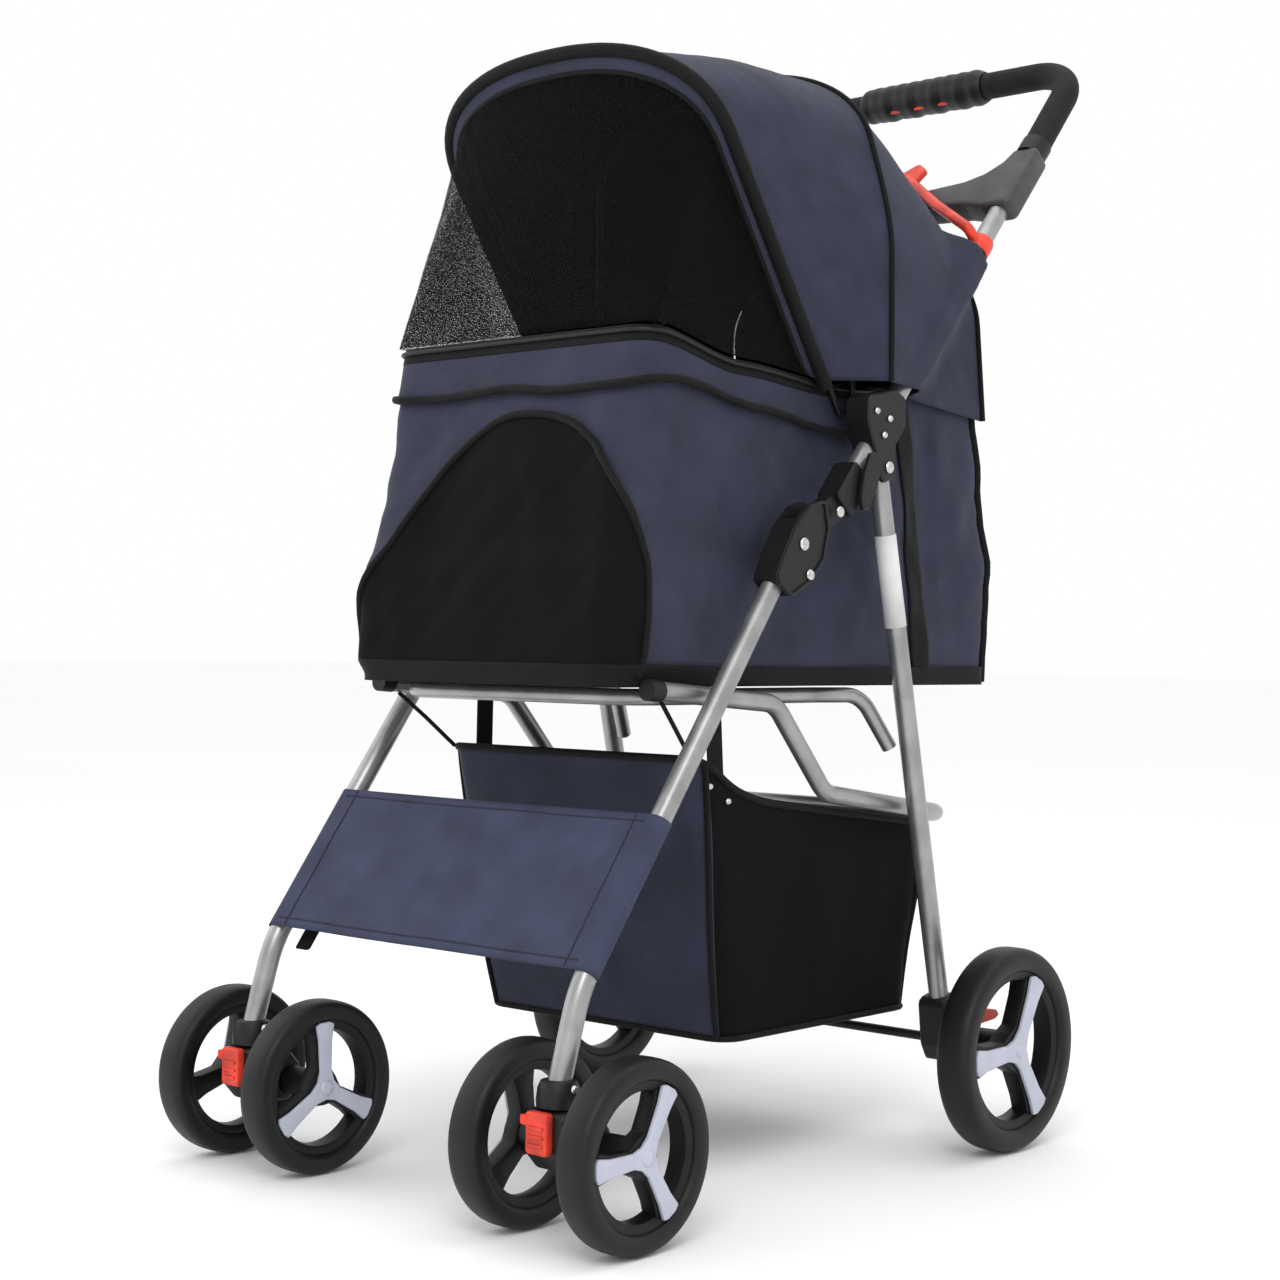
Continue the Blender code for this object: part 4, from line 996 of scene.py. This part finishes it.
def tent(p, share, rear):
    """How far the handle tube behind it pushes the canopy's side outwards at a point."""
    away = Vector((0, p.y + MID - HANDLE_POINT.x, p.z - HANDLE_POINT.y))
    up = away.dot(HANDLE_DIR)
    behind = -away.dot(HANDLE_NORMAL)
    side = ease((abs(p.x) - 0.085) / 0.055)
    if behind > 0:
        share *= (1 - ease(behind / 0.060)) * ease((p.z - 0.626) / 0.035)
    fade = 1 - ease((p.z - 0.745 + 0.055 * rear) / (0.16 - 0.07 * rear))
    general = 0.0325 * side * share * fade
    ridge = max(0.1822 - abs(p.x), 0) * side * (1 - ease((abs(behind) - 0.008) / 0.030))
    return max(general, ridge * (1 - ease((up - 0.238) / 0.016)))


def canopy_surface(u, v, out=0.0):
    """The canopy's outer face, from the front hoop (v 0) to the rear edge (v 1)."""
    mid = hoop_line(REAR_HOOP, MID_ARCH, u, 0.0, 0.031)
    crown = math.sin(math.pi * min(max(u, 0), 1))
    if v < SEAM_V:
        t = v / SEAM_V
        p = hoop_line(FRONT_HOOP, FRONT_ARCH, u, 0.010, 0.036).lerp(mid, t)
        rise = Vector((0, -0.25, 1.0)).normalized() * 0.007 * math.sin(math.pi * t) * crown
        push = tent(p, t, 0.0)
    else:
        t = (v - SEAM_V) / (1 - SEAM_V)
        p = mid.lerp(rear_line(u), t)
        rise = Vector((0, 0.55, 1.0)).normalized() * 0.020 * math.sin(math.pi * t) ** 0.9 * crown
        push = tent(p, 1.0, t)
    outward = Vector((p.x * 3, 0, max(p.z - 0.72, 0.0) * 2)).normalized()
    folds = noise_at(p * 9) + 0.7 * noise_at(Vector((p.x * 5, p.y * 26 + p.z * 16, p.z * 6)))
    ripple = folds * sizes().slack * 0.8 * math.sin(math.pi * t)
    return p + rise + Vector((math.copysign(push, p.x), 0, 0)) + outward * (out + ripple)


def noise_at(p):
    """Smooth noise of about -1.5 to 1.5 for folds."""
    return noise.noise(p) + 0.5 * noise.noise(p * 2.3)


def canopy():
    """The cloth over the hoops, its visor, wires, piping and bound slits for the tubes."""
    navy, tape = navy_cloth(), black_tape()
    top = draped("canopy_cover", canopy_surface, 0.95, 0.36, 150, 80, navy, None,
                 inner=black_cloth())
    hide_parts("front_canopy", "rear_canopy")

    def visor(u, v):
        return hoop_line(FRONT_HOOP, FRONT_ARCH, u, 0.012, 0.036).lerp(
            hoop_line(FRONT_HOOP, INNER_ARCH, u, 0.019, 0.048), v)

    def trim(name, line, radius, body, sides):
        path = [line(k / TRIM_STEPS) for k in range(TRIM_STEPS + 1)]
        bar(name, path, radius, tape, body, sides=sides)

    draped("canopy_visor", visor, 0.95, 0.016, 96, 4, navy, "canopy_front",
           offset=0.0)
    trim("net_zip", lambda u: visor(u, 1.0), 0.0022, "canopy_front", 10)
    trim("canopy_front_binding", lambda u: hoop_line(FRONT_HOOP, FRONT_ARCH, u, 0.012, 0.030),
         0.0058, "canopy_front", 16)
    hoops = (("front", FRONT_HOOP, arch(0.1435, 0.332, 0.094), "canopy_front"),
             ("rear", REAR_HOOP, arch(0.1435, 0.291, 0.078), "canopy_middle"))
    for name, hoop, line, body in hoops:
        foot = [in_hoop(hoop, 0.156, 0.0), *(in_hoop(hoop, p.x, p.y) for p in line),
                in_hoop(hoop, -0.156, 0.0)]
        wire = bar(name + "_hoop_wire", foot, 0.003, black_nylon(), body, sides=12)
        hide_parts(name + "_canopy_hoop")
    trim("canopy_seam_piping", lambda u: canopy_surface(u, SEAM_V, 0.0012), sizes().binding,
         "canopy_middle", 12)
    trim("canopy_rear_piping", lambda u: canopy_surface(u, 1.0, 0.0012), sizes().binding, "handle",
         12)
    for side, sign in SIDES:
        line = [along_handle(s, sign * LEG_X) for s in (0.236, 0.238, 0.252, 0.254)]
        bar(side + "_tube_slit", line, 0.0112, tape, "handle",
            swell=lambda share, angle: 0.8 if share in (0, 1) else 1.0)
    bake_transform(top)


def between(places, value):
    """Eased steps through (place, height) pairs."""
    for (a, low), (b, high) in zip(places, places[1:]):
        if value <= b:
            return low + (high - low) * ease(max(value - a, 0) / (b - a))
    return places[-1][1]


def rim_height(y):
    """The cabin's top edge dips towards its middle, where the front hoop ends."""
    return between(((-0.126, 0.664), (-0.02, 0.647), (0.10, 0.640), (0.24, 0.648), (0.33, 0.652)),
                   y)


def net_surface(u, v):
    """The net front: from the cabin's rim up to the front hoop."""
    top = hoop_line(FRONT_HOOP, INNER_ARCH, u, 0.0195, 0.050)
    side, half, front = 0.198, 0.1425, -0.126
    way = 2 * (side + half) * u
    if way < side:
        low = (half, front + side - way)
    elif way < side + 2 * half:
        low = (half + side - way, front)
    else:
        low = (-half, front + way - side - 2 * half)
    low = at(low[0], low[1], rim_height(low[1]) + 0.002)
    p = low.lerp(top, v)
    belly = math.sin(math.pi * v) * math.sin(math.pi * u)
    sway = Vector((0, 1, 0)) * noise_at(p * 8) * 0.0025 * belly
    return p + Vector((0, -0.006 * belly, 0.002 * belly)) + sway


def net_front():
    made = draped("net_front", net_surface, 0.70, 0.26, 80, 30, open_net(), "canopy_front",
                  thickness=0.0006)
    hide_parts("front_mesh_panel")
    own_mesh(made)


# ---- cabin ----------------------------------------------------------------------------------
FRONT_U = 0.5  # the front's middle, as a share of the way round from the rear's middle


def ring_point(u, front, rear, half, corner=0.018):
    """A point on a round-cornered rectangle and the way out; u runs round from the rear middle."""
    square = [(half, rear), (half, front), (-half, front), (-half, rear)]
    outline = [Vector(point) for point in rounded(square, corner, 5)]
    closed = [Vector((0, rear))] + outline + [Vector((0, rear))]
    p = along(closed, u)
    q = along(closed, min(u + 0.004, 1.0)) - along(closed, max(u - 0.004, 0.0))
    out = Vector((-q.y, q.x))
    if out.dot(p - Vector((0, (front + rear) / 2))) < 0:
        out = -out
    return p, out.normalized()


def cabin_point(u, v, out=0.0):
    """A point on the cabin's wall; v is the share of its height."""
    front = -0.167 + (-0.126 + 0.167) * v
    rear = 0.345 + (0.322 - 0.345) * v
    p, away = ring_point(u, front, rear, 0.1372)
    z = CABIN_FLOOR + (rim_height(p.y) - CABIN_FLOOR) * v
    place = at(p.x, p.y, z)
    belly = math.sin(math.pi * min(max(v, 0), 1))
    fold = noise_at(Vector((p.x * 7, p.y * 7 + 3, z * 3.2))) * sizes().slack * 1.5 * belly
    round_way = p.x - p.y if p.y < 0.25 else p.x + p.y
    pull = 0.0075 * noise_at(Vector((round_way * 15 + z * 5, z * 3.0, 2.7))) * belly
    pull += 0.0035 * noise_at(Vector((round_way * 30 - z * 22, z * 5, 9.1))) * belly
    low_front = 0.007 * ease((0.42 - v) / 0.10) * ease((-0.02 - p.y) / 0.08) * ease(v / 0.06)
    reach = 0.0030 * belly + fold + pull + low_front + out
    return place + Vector((away.x, away.y, 0)) * reach


def u_of(y, v, span):
    """The share of the way round, within span, at which a side wall passes a given y."""
    best, found = math.inf, 0
    for k in range(401):
        u = k / 400
        p = cabin_point(u, v)
        gap = abs(p.y + MID - y)
        if span[0] <= u <= span[1] and abs(p.x) >= 0.12 and gap < best:
            best, found = gap, u
    return found


def squashed(made):
    """Gives a soft piece its own copy of its mesh."""
    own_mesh(made)
    return made


def squash_cabin(made):
    return squashed(made)


def squash_basket(made):
    return squashed(made)


def cabin():
    """The wall and floor, with the zip band, flap, hem, side tapes and window on them."""
    navy, tape, lining = navy_cloth(), black_tape(), black_cloth()
    wall = draped("cabin_wall", cabin_point, CABIN_ROUND, CABIN_HIGH, 220, 56, navy, "seat_frame",
                  inner=lining, wrap=True)
    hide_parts("cabin")
    squash_cabin(wall)

    bm = bmesh.new()
    outline = rounded([(-0.1365, -0.1655), (0.1365, -0.1655), (0.1365, 0.3435), (-0.1365, 0.3435)],
                      0.018, 5)
    slab(bm, outline, lambda a, b, h: at(a, b, CABIN_FLOOR + h), 0.003, bevel=0.001)
    metre_map(bm, from_above)
    finish("cabin_floor", bm, lining, "seat_frame")

    left_u, right_u = FRONT_U - 0.29, FRONT_U + 0.29

    def strip(name, low, high, out, look, span, across=160, along_count=6, thickness=0.0012):
        """A band on the wall from low(u) to high, standing out from it."""
        def shape(u, v):
            around = span[0] + (span[1] - span[0]) * u
            return cabin_point(around, low(around) + (high - low(around)) * v, out)

        squash_cabin(draped(name, shape, CABIN_ROUND * (span[1] - span[0]), CABIN_HIGH * 0.12,
                            across, along_count, look, "seat_frame", thickness=thickness))

    front_half = (left_u, right_u)
    strip("cabin_zip_band", lambda u: 0.955, 1.0, 0.0040, tape, front_half)

    def wave(u):
        p = cabin_point(u, 0.86)
        y = p.y + MID
        height = between(((-0.16, 0.616), (-0.12, 0.624), (0.0, 0.614), (0.09, 0.600),
                          (0.3, 0.596)), y)
        height += 0.0022 * math.sin(p.x * 34 + y * 40) - 0.004 * ease(1 - abs(p.x - 0.05) / 0.06)
        return (height - CABIN_FLOOR) / (rim_height(y) - CABIN_FLOOR)

    strip("cabin_flap", wave, 0.965, 0.0034, navy, front_half, across=200,
          along_count=12, thickness=0.0016)
    steps = [left_u + (right_u - left_u) * k / 160 for k in range(161)]
    lip = [cabin_point(u, wave(u) - 0.004, 0.0046) for u in steps]
    squash_cabin(bar("flap_piping", lip, 0.0034, tape, "seat_frame", sides=12))
    teeth = [cabin_point(u, 0.985, 0.0052) for u in steps]
    squash_cabin(bar("zip_chain", teeth, 0.0019, black_nylon(), "seat_frame",
                     sides=10))
    strip("cabin_hem", lambda u: -0.010, 0.052, 0.0030, tape, (0.0, 1.0),
          across=260)
    for name, sign in SIDES:
        side_band(name, sign, tape)
    window(tape)


def side_band(name, sign, tape):
    """The upright tape on each side, and the bound edge at the rear corner."""
    span = (0.0, 0.5) if cabin_point(0.2, 0.5).x * sign > 0 else (0.5, 1.0)
    low, high = u_of(0.239, 0.05, span), u_of(0.198, 0.95, span)
    width = 0.0082

    def shape(u, v):
        return cabin_point(low + (high - low) * v + (u - 0.5) * 2 * width, 0.02 + 0.965 * v, 0.0022)

    squash_cabin(draped(name + "_side_tape", shape, 0.016, CABIN_HIGH, 6, 40, tape, "seat_frame",
                        thickness=0.0012))
    corner, top = u_of(0.338, 0.1, span), u_of(0.316, 0.95, span)
    path = [cabin_point(corner + (top - corner) * k / 24, k / 24, 0.0022) for k in range(25)]
    squash_cabin(bar(name + "_corner_piping", path, 0.0036, tape, "seat_frame",
                     sides=12))


def window(tape):
    """The net window in the front wall: a tall round arch with a bound edge."""
    perimeter, sill = 1.496, 0.022

    def place(share):
        """The arch from left foot to right foot as (x, v); it is fuller on the left."""
        c = -math.cos(math.pi * share)
        reach, power = (0.160, 1.8) if c > 0 else (0.133, 2.6)
        return -0.020 + reach * c, sill + 0.745 * (1 - abs(c) ** power) ** (1 / power)

    def on_wall(x, v, out):
        return cabin_point(FRONT_U + x / perimeter, v, out)

    def shape(u, v):
        x, top = place(u)
        return on_wall(x, sill + (top - sill) * v, 0.0022)

    squash_cabin(draped("window_net", shape, 0.28, 0.20, 80, 40, backed_net(), "seat_frame",
                        thickness=0.0010))
    edge = [on_wall(*place(k / 100), 0.0028) for k in range(101)]
    squash_cabin(bar("window_binding", edge, 0.0030, tape, "seat_frame", sides=12))


def cabin_pad():
    """A crowned cushion with sewn channels, inside the cabin."""
    low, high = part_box("cabin_pad")
    size = high - low
    mid = (high + low) / 2
    bm = bmesh.new()
    bmesh.ops.create_cube(bm, size=1.0)
    bmesh.ops.subdivide_edges(bm, edges=bm.edges[:], cuts=28, use_grid_fill=True)
    for v in bm.verts:
        x, y, z = v.co * 2
        crown = (1 - abs(x) ** 5) * (1 - abs(y) ** 7)
        channel = math.exp(-((math.fmod(abs(y) + 0.2, 0.4) - 0.2) / 0.035) ** 2)
        tuck = 1 - 0.04 * (1 - abs(z))
        lift = z * (0.45 + 0.55 * crown) - (0.30 * channel * crown if z > 0 else 0)
        v.co = mid + Vector((x * size.x / 2 * tuck, y * size.y / 2 * tuck, lift * size.z / 2))
    metre_map(bm, from_above)
    bmesh.ops.recalc_face_normals(bm, faces=bm.faces)
    pad = finish("cabin_cushion", bm, black_cloth(), "seat_frame", smooth=0)
    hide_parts("cabin_pad")


def rear_panel():
    """The cloth behind, from the cabin's rim up under the canopy's rear edge."""
    def shape(u, v):
        width = 0.137 - 0.040 * max((v - 0.5) / 0.5, 0) ** 2.2
        z = CABIN_RIM - 0.004 + 0.128 * v
        x = width * (1 - 2 * u)
        belly = 0.004 * math.sin(math.pi * u) * math.sin(math.pi * v)
        return at(x, 0.3245 - 0.127 * (z - CABIN_RIM) + belly, z)

    made = draped("rear_cloth", shape, 0.27, 0.125, 40, 20, navy_cloth(), "handle",
                  inner=black_cloth())
    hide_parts("rear_panel")
    edge = [shape(0, k / 20) for k in range(21)] + [shape(k / 20, 1) for k in range(1, 20)]
    edge += [shape(1, 1 - k / 20) for k in range(21)]
    bar("rear_cloth_binding", edge, 0.0024, black_tape(), "handle", sides=10)


# ---- banner and basket ----------------------------------------------------------------------
def banner_point(u, v, out=0.0):
    """The front panel: its side hems wrap the legs, and it sags a little between them."""
    low, high = 0.1865, 0.2925
    z = low + (high - low) * v
    middle_point = leg_point(z)
    away = Vector((-LEG_DIR.y, LEG_DIR.x))
    wrap = TUBE_R + 0.0014
    if u < 0.10 or u > 0.90:
        sign = -1 if u < 0.5 else 1
        t = (u / 0.10) if u < 0.5 else ((1 - u) / 0.10)
        angle = math.radians(-115 * (1 - t))
        x = sign * (LEG_X - math.sin(angle) * wrap)
        depth = math.cos(angle) * wrap
    else:
        t = (u - 0.10) / 0.80
        x = -LEG_X + 2 * LEG_X * t
        sag = math.sin(math.pi * t)
        depth = wrap - 0.0012 * sag
        broad = noise_at(Vector((x * 6, z * 42 + x * 7, 1)))
        tight = noise_at(Vector((x * 14, z * 30 - x * 10, 5)))
        depth += max(broad + 0.8 * tight, -0.5) * 0.0034 * sag * math.sin(math.pi * v) ** 0.4
    return at(x, *(middle_point + away * (depth + out)))


def banner():
    """The cloth between the legs, with its stitch lines and a small tag at the lower edge."""
    # the panel's cloth is the cabin's navy with painted light, lighter than the cabin's
    made = draped("banner_cloth", banner_point, 0.40, 0.14, 120, 30, lit_panel_cloth(), "front_frame",
                  thickness=0.0015)
    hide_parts("front_banner")
    thread = moulded("Navy thread", shade(colours().fabric, 0.75), 0.8)
    for name, v in (("low", 0.055), ("high", 0.95)):
        line = [banner_point(0.11 + 0.78 * k / 60, v, 0.0002) for k in range(61)]
        bar(f"banner_{name}_stitch", line, 0.0005, thread, "front_frame", sides=6)
    for name, u in (("right", 0.135), ("left", 0.865)):
        line = [banner_point(u, 0.01 + 0.98 * k / 30, 0.0002) for k in range(31)]
        bar(f"banner_{name}_seam", line, 0.0006, thread, "front_frame", sides=6)
    bm = bmesh.new()
    slab(bm, rounded([(-0.148, 0.174), (-0.132, 0.174), (-0.132, 0.190), (-0.148, 0.190)], 0.002,
                     2),
         lambda a, b, h: at(a, leg_point(b).x + 0.009 - h, b), 0.0018, bevel=0.0004)
    finish("banner_tag", bm, black_cloth(), "front_frame")


def basket_rim(y):
    """The rim's height: raised at the front corners and falling to the rear."""
    return 0.300 + 0.034 * math.exp(-((y + 0.066) / 0.045) ** 2) - 0.032 * max(y, 0) / 0.26


def basket_point(u, v, out=0.0):
    """A point on the basket's wall; v is the share of its height."""
    v = min(max(v, 0), 1)
    front = -0.018 + (-0.066 + 0.018) * v
    rear = 0.236 + (0.262 - 0.236) * v * v
    p, away = ring_point(u, front, rear, 0.1330 + 0.0035 * v, 0.020)
    rim = basket_rim(p.y)
    z = BASKET_FLOOR + (rim - BASKET_FLOOR) * v
    belly = math.sin(math.pi * v)
    fold = noise_at(Vector((p.x * 11, p.y * 11, z * 5 + 7)))
    reach = 0.0025 * belly + fold * 0.0055 * belly + out
    return at(p.x, p.y, z) + Vector((away.x, away.y, 0)) * reach


def basket():
    """The wall with net sides, the floor, and the bound rim, floor edge and corners."""
    navy, tape, lining = navy_cloth(), black_tape(), black_cloth()
    corners = (0.122, 0.378, 0.622, 0.878)

    def region(around):
        """Net on the two sides, cloth in front and behind."""
        return int(corners[0] < around < corners[1] or corners[2] < around < corners[3])

    wall = draped("basket_wall", basket_point, 1.1, 0.20, 160, 36, [navy, backed_net()],
                  "basket_frame", inner=lining, wrap=True, region=region)
    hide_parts("basket")
    pieces = [wall]
    bm = bmesh.new()
    outline = rounded([(-0.1315, -0.0165), (0.1315, -0.0165), (0.1315, 0.2345), (-0.1315, 0.2345)],
                      0.020, 5)
    slab(bm, outline, lambda a, b, h: at(a, b, BASKET_FLOOR - 0.0003 + h), 0.003, bevel=0.001)
    metre_map(bm, from_above)
    pieces.append(finish("basket_floor", bm, lining, "basket_frame"))
    for name, v, radius in (("rim", 1.0, 0.0032), ("floor", 0.0, 0.0026)):
        line = [basket_point(k / 160, v) for k in range(160)]
        pieces.append(bar(f"basket_{name}_binding", line, radius, tape, "basket_frame",
                          sides=12, closed=True))
    for n, u in enumerate(corners):
        path = [basket_point(u, j / 24, 0.001) for j in range(25)]
        pieces.append(bar(f"basket_corner_{n + 1}", path, 0.0026, tape, "basket_frame",
                          sides=10))
    for piece in pieces:
        squash_basket(piece)


def strap(name, start, end, width, body):
    """Flat webbing between two points, wide from front to rear."""
    wide = Vector((0, 1, 0))
    side = wide * width / 2
    thin = (end - start).cross(wide).normalized() * 0.0007
    bm = bmesh.new()
    corners = [start - side, start + side, end + side, end - side]
    face = bm.faces.new([bm.verts.new(c - thin) for c in corners])
    grown = bmesh.ops.extrude_face_region(bm, geom=[face])
    bmesh.ops.translate(bm, verts=new_verts(grown["geom"]), vec=thin * 2)
    bmesh.ops.recalc_face_normals(bm, faces=bm.faces)
    metre_map(bm, lambda co: (co.y + co.x, co.z))
    return finish(name, bm, black_tape(), body)


def straps():
    """The webbing, ties and snap studs that hang the basket from the frame."""
    for side, sign in SIDES:
        squash_basket(strap(side + "_basket_strap", at(sign * 0.127, -0.032, 0.386),
                            at(sign * 0.130, -0.030, 0.312), 0.018, "basket_frame"))
        line = [at(sign * 0.132, -0.063, 0.334), at(sign * 0.139, -0.090, 0.358),
                at(sign * 0.146, -0.115, 0.379)]
        squashed(bar(side + "_basket_tie", line, 0.0018, black_tape(), "basket_frame",
                     sides=8))
        studs = [(basket_point_near(sign, y) + Vector((sign * 0.0008, 0, 0)), (sign, 0, 0))
                 for y in (-0.046, -0.022)]
        squash_basket(rivets(side + "_snap_studs", studs, "basket_frame", 0.0030))


def basket_point_near(sign, y):
    """The point just under the rim of a side wall that is nearest to a given y."""
    points = [basket_point(k / 160, 0.93) for k in range(160)]
    return min((p for p in points if p.x * sign > 0.1), key=lambda p: abs(p.y + MID - y))


# ---- stage ----------------------------------------------------------------------------------
def floor_and_light():
    """A pale floor under a white surround, with a key, a fill and a top light."""
    bm = bmesh.new()
    bmesh.ops.create_grid(bm, x_segments=2, y_segments=2, size=30.0)
    mesh = bpy.data.meshes.new("studio_floor")
    bm.to_mesh(mesh)
    bm.free()
    paper, tree, shader = new_material("Studio paper", 0.9)
    if tree:
        varied(tree, shader, "#FAFAFA", "#FCFCFC", 0.5)
    mesh.materials.append(paper)
    floor = bpy.data.objects.new("studio_floor", mesh)
    floor.location = (0, 0, -0.0005)
    bpy.context.scene.collection.objects.link(floor)
    world = bpy.data.worlds.new("Studio")
    world.use_nodes = True
    world.node_tree.nodes["Background"].inputs["Color"].default_value = (1.0, 1.0, 1.0, 1)
    world.node_tree.nodes["Background"].inputs["Strength"].default_value = 1.0
    bpy.context.scene.world = world
    bpy.context.scene.view_settings.view_transform = "Standard"
    lights = (("key", (1.4, -1.9, 2.2), 26, 1.2), ("fill", (-2.0, -1.0, 1.4), 8, 1.8),
              ("top", (0.2, 0.5, 2.8), 12, 2.0))
    for name, place, power, size in lights:
        data = bpy.data.lights.new(name, "AREA")
        data.energy = power
        data.size = size
        light = bpy.data.objects.new(name, data)
        light.location = place
        ahead = Vector((0, 0, 0.5)) - Vector(place)
        light.rotation_euler = ahead.to_track_quat("-Z", "Y").to_euler()
        bpy.context.scene.collection.objects.link(light)


def camera():
    """A level view from the front left, from a little above the cabin's floor."""
    data = bpy.data.cameras.new("camera")
    data.sensor_width = 36.0
    data.lens = 62.275
    made = bpy.data.objects.new("camera", data)
    turn, tilt, roll = math.radians(41.572), math.radians(-0.087), math.radians(0.828)
    ahead = Vector((-math.sin(turn) * math.cos(tilt), math.cos(turn) * math.cos(tilt),
                    -math.sin(tilt)))
    right = Vector((math.cos(turn), math.sin(turn), 0))
    up = right.cross(ahead)
    level = math.cos(roll) * right + math.sin(roll) * up
    upright = -math.sin(roll) * right + math.cos(roll) * up
    place = at(1.2387, -1.3722, 0.4233)
    turned = Matrix((level, upright, -ahead)).transposed().to_4x4()
    made.matrix_world = Matrix.Translation(place) @ turned
    bpy.context.scene.collection.objects.link(made)
    bpy.context.scene.camera = made


# ---- operators ------------------------------------------------------------------------------
class STROLLER_OT_frame(bpy.types.Operator):
    """Smooth painted tubes, with their caps and the blank label."""

    bl_idname = "stroller.frame_tubes"
    bl_label = "Frame tubes"

    def execute(self, context):
        tubes()
        return {"FINISHED"}


class STROLLER_OT_casters(bpy.types.Operator):
    """Front casters with their wheels and lock tabs."""

    bl_idname = "stroller.casters"
    bl_label = "Casters"

    def execute(self, context):
        casters()
        return {"FINISHED"}


class STROLLER_OT_rear_wheels(bpy.types.Operator):
    """Rear wheels."""

    bl_idname = "stroller.rear_wheels"
    bl_label = "Rear wheels"

    def execute(self, context):
        rear_wheels()
        return {"FINISHED"}


class STROLLER_OT_brackets(bpy.types.Operator):
    """Fold brackets, their rivets, the brakes and the hook."""

    bl_idname = "stroller.brackets"
    bl_label = "Brackets and rivets"

    def execute(self, context):
        brackets()
        return {"FINISHED"}


class STROLLER_OT_handle(bpy.types.Operator):
    """Handle yoke, grips, ridged housing and the red release bar."""

    bl_idname = "stroller.handle"
    bl_label = "Handle"

    def execute(self, context):
        handle()
        return {"FINISHED"}


class STROLLER_OT_canopy(bpy.types.Operator):
    """Canopy cloth over its hoops, and the net front."""

    bl_idname = "stroller.canopy"
    bl_label = "Canopy"

    def execute(self, context):
        canopy()
        net_front()
        rear_panel()
        return {"FINISHED"}


class STROLLER_OT_cabin(bpy.types.Operator):
    """Cabin cloth with its flap, zip, window and tapes, and the cushion inside."""

    bl_idname = "stroller.cabin"
    bl_label = "Cabin"

    def execute(self, context):
        cabin()
        cabin_pad()
        return {"FINISHED"}


class STROLLER_OT_banner(bpy.types.Operator):
    """The cloth panel between the front legs."""

    bl_idname = "stroller.banner"
    bl_label = "Front panel"

    def execute(self, context):
        banner()
        return {"FINISHED"}


class STROLLER_OT_basket(bpy.types.Operator):
    """The basket with its binding, straps and studs."""

    bl_idname = "stroller.basket"
    bl_label = "Basket"

    def execute(self, context):
        basket()
        straps()
        return {"FINISHED"}


class STROLLER_OT_stage(bpy.types.Operator):
    """Floor, lights and camera."""

    bl_idname = "stroller.stage"
    bl_label = "Stage"

    def execute(self, context):
        floor_and_light()
        camera()
        return {"FINISHED"}


OPERATORS = (STROLLER_OT_stage, STROLLER_OT_frame, STROLLER_OT_casters, STROLLER_OT_rear_wheels,
             STROLLER_OT_brackets, STROLLER_OT_handle, STROLLER_OT_banner, STROLLER_OT_cabin,
             STROLLER_OT_canopy, STROLLER_OT_basket)


class STROLLER_PT_panel(bpy.types.Panel):
    """Lists the stroller's pieces."""

    bl_label = "Pet stroller"
    bl_space_type = "VIEW_3D"
    bl_region_type = "UI"
    bl_category = "Stroller"

    def draw(self, context):
        for operator in OPERATORS:
            self.layout.operator(operator.bl_idname)
        for group in (context.scene.stroller_colours, context.scene.stroller_sizes):
            for name in group.__annotations__:
                self.layout.prop(group, name)


CLASSES = (StrollerColours, StrollerSizes, *OPERATORS, STROLLER_PT_panel)


def register():
    for one in CLASSES:
        bpy.utils.register_class(one)
    bpy.types.Scene.stroller_colours = bpy.props.PointerProperty(type=StrollerColours)
    bpy.types.Scene.stroller_sizes = bpy.props.PointerProperty(type=StrollerSizes)


def unregister():
    del bpy.types.Scene.stroller_colours
    del bpy.types.Scene.stroller_sizes
    for one in reversed(CLASSES):
        bpy.utils.unregister_class(one)


def main():
    register()
    for operator in OPERATORS:
        area, name = operator.bl_idname.split(".")
        result = getattr(getattr(bpy.ops, area), name)()
        if "FINISHED" not in result:
            raise RuntimeError(operator.bl_label + " did not finish")


if __name__ == "__main__":
    main()
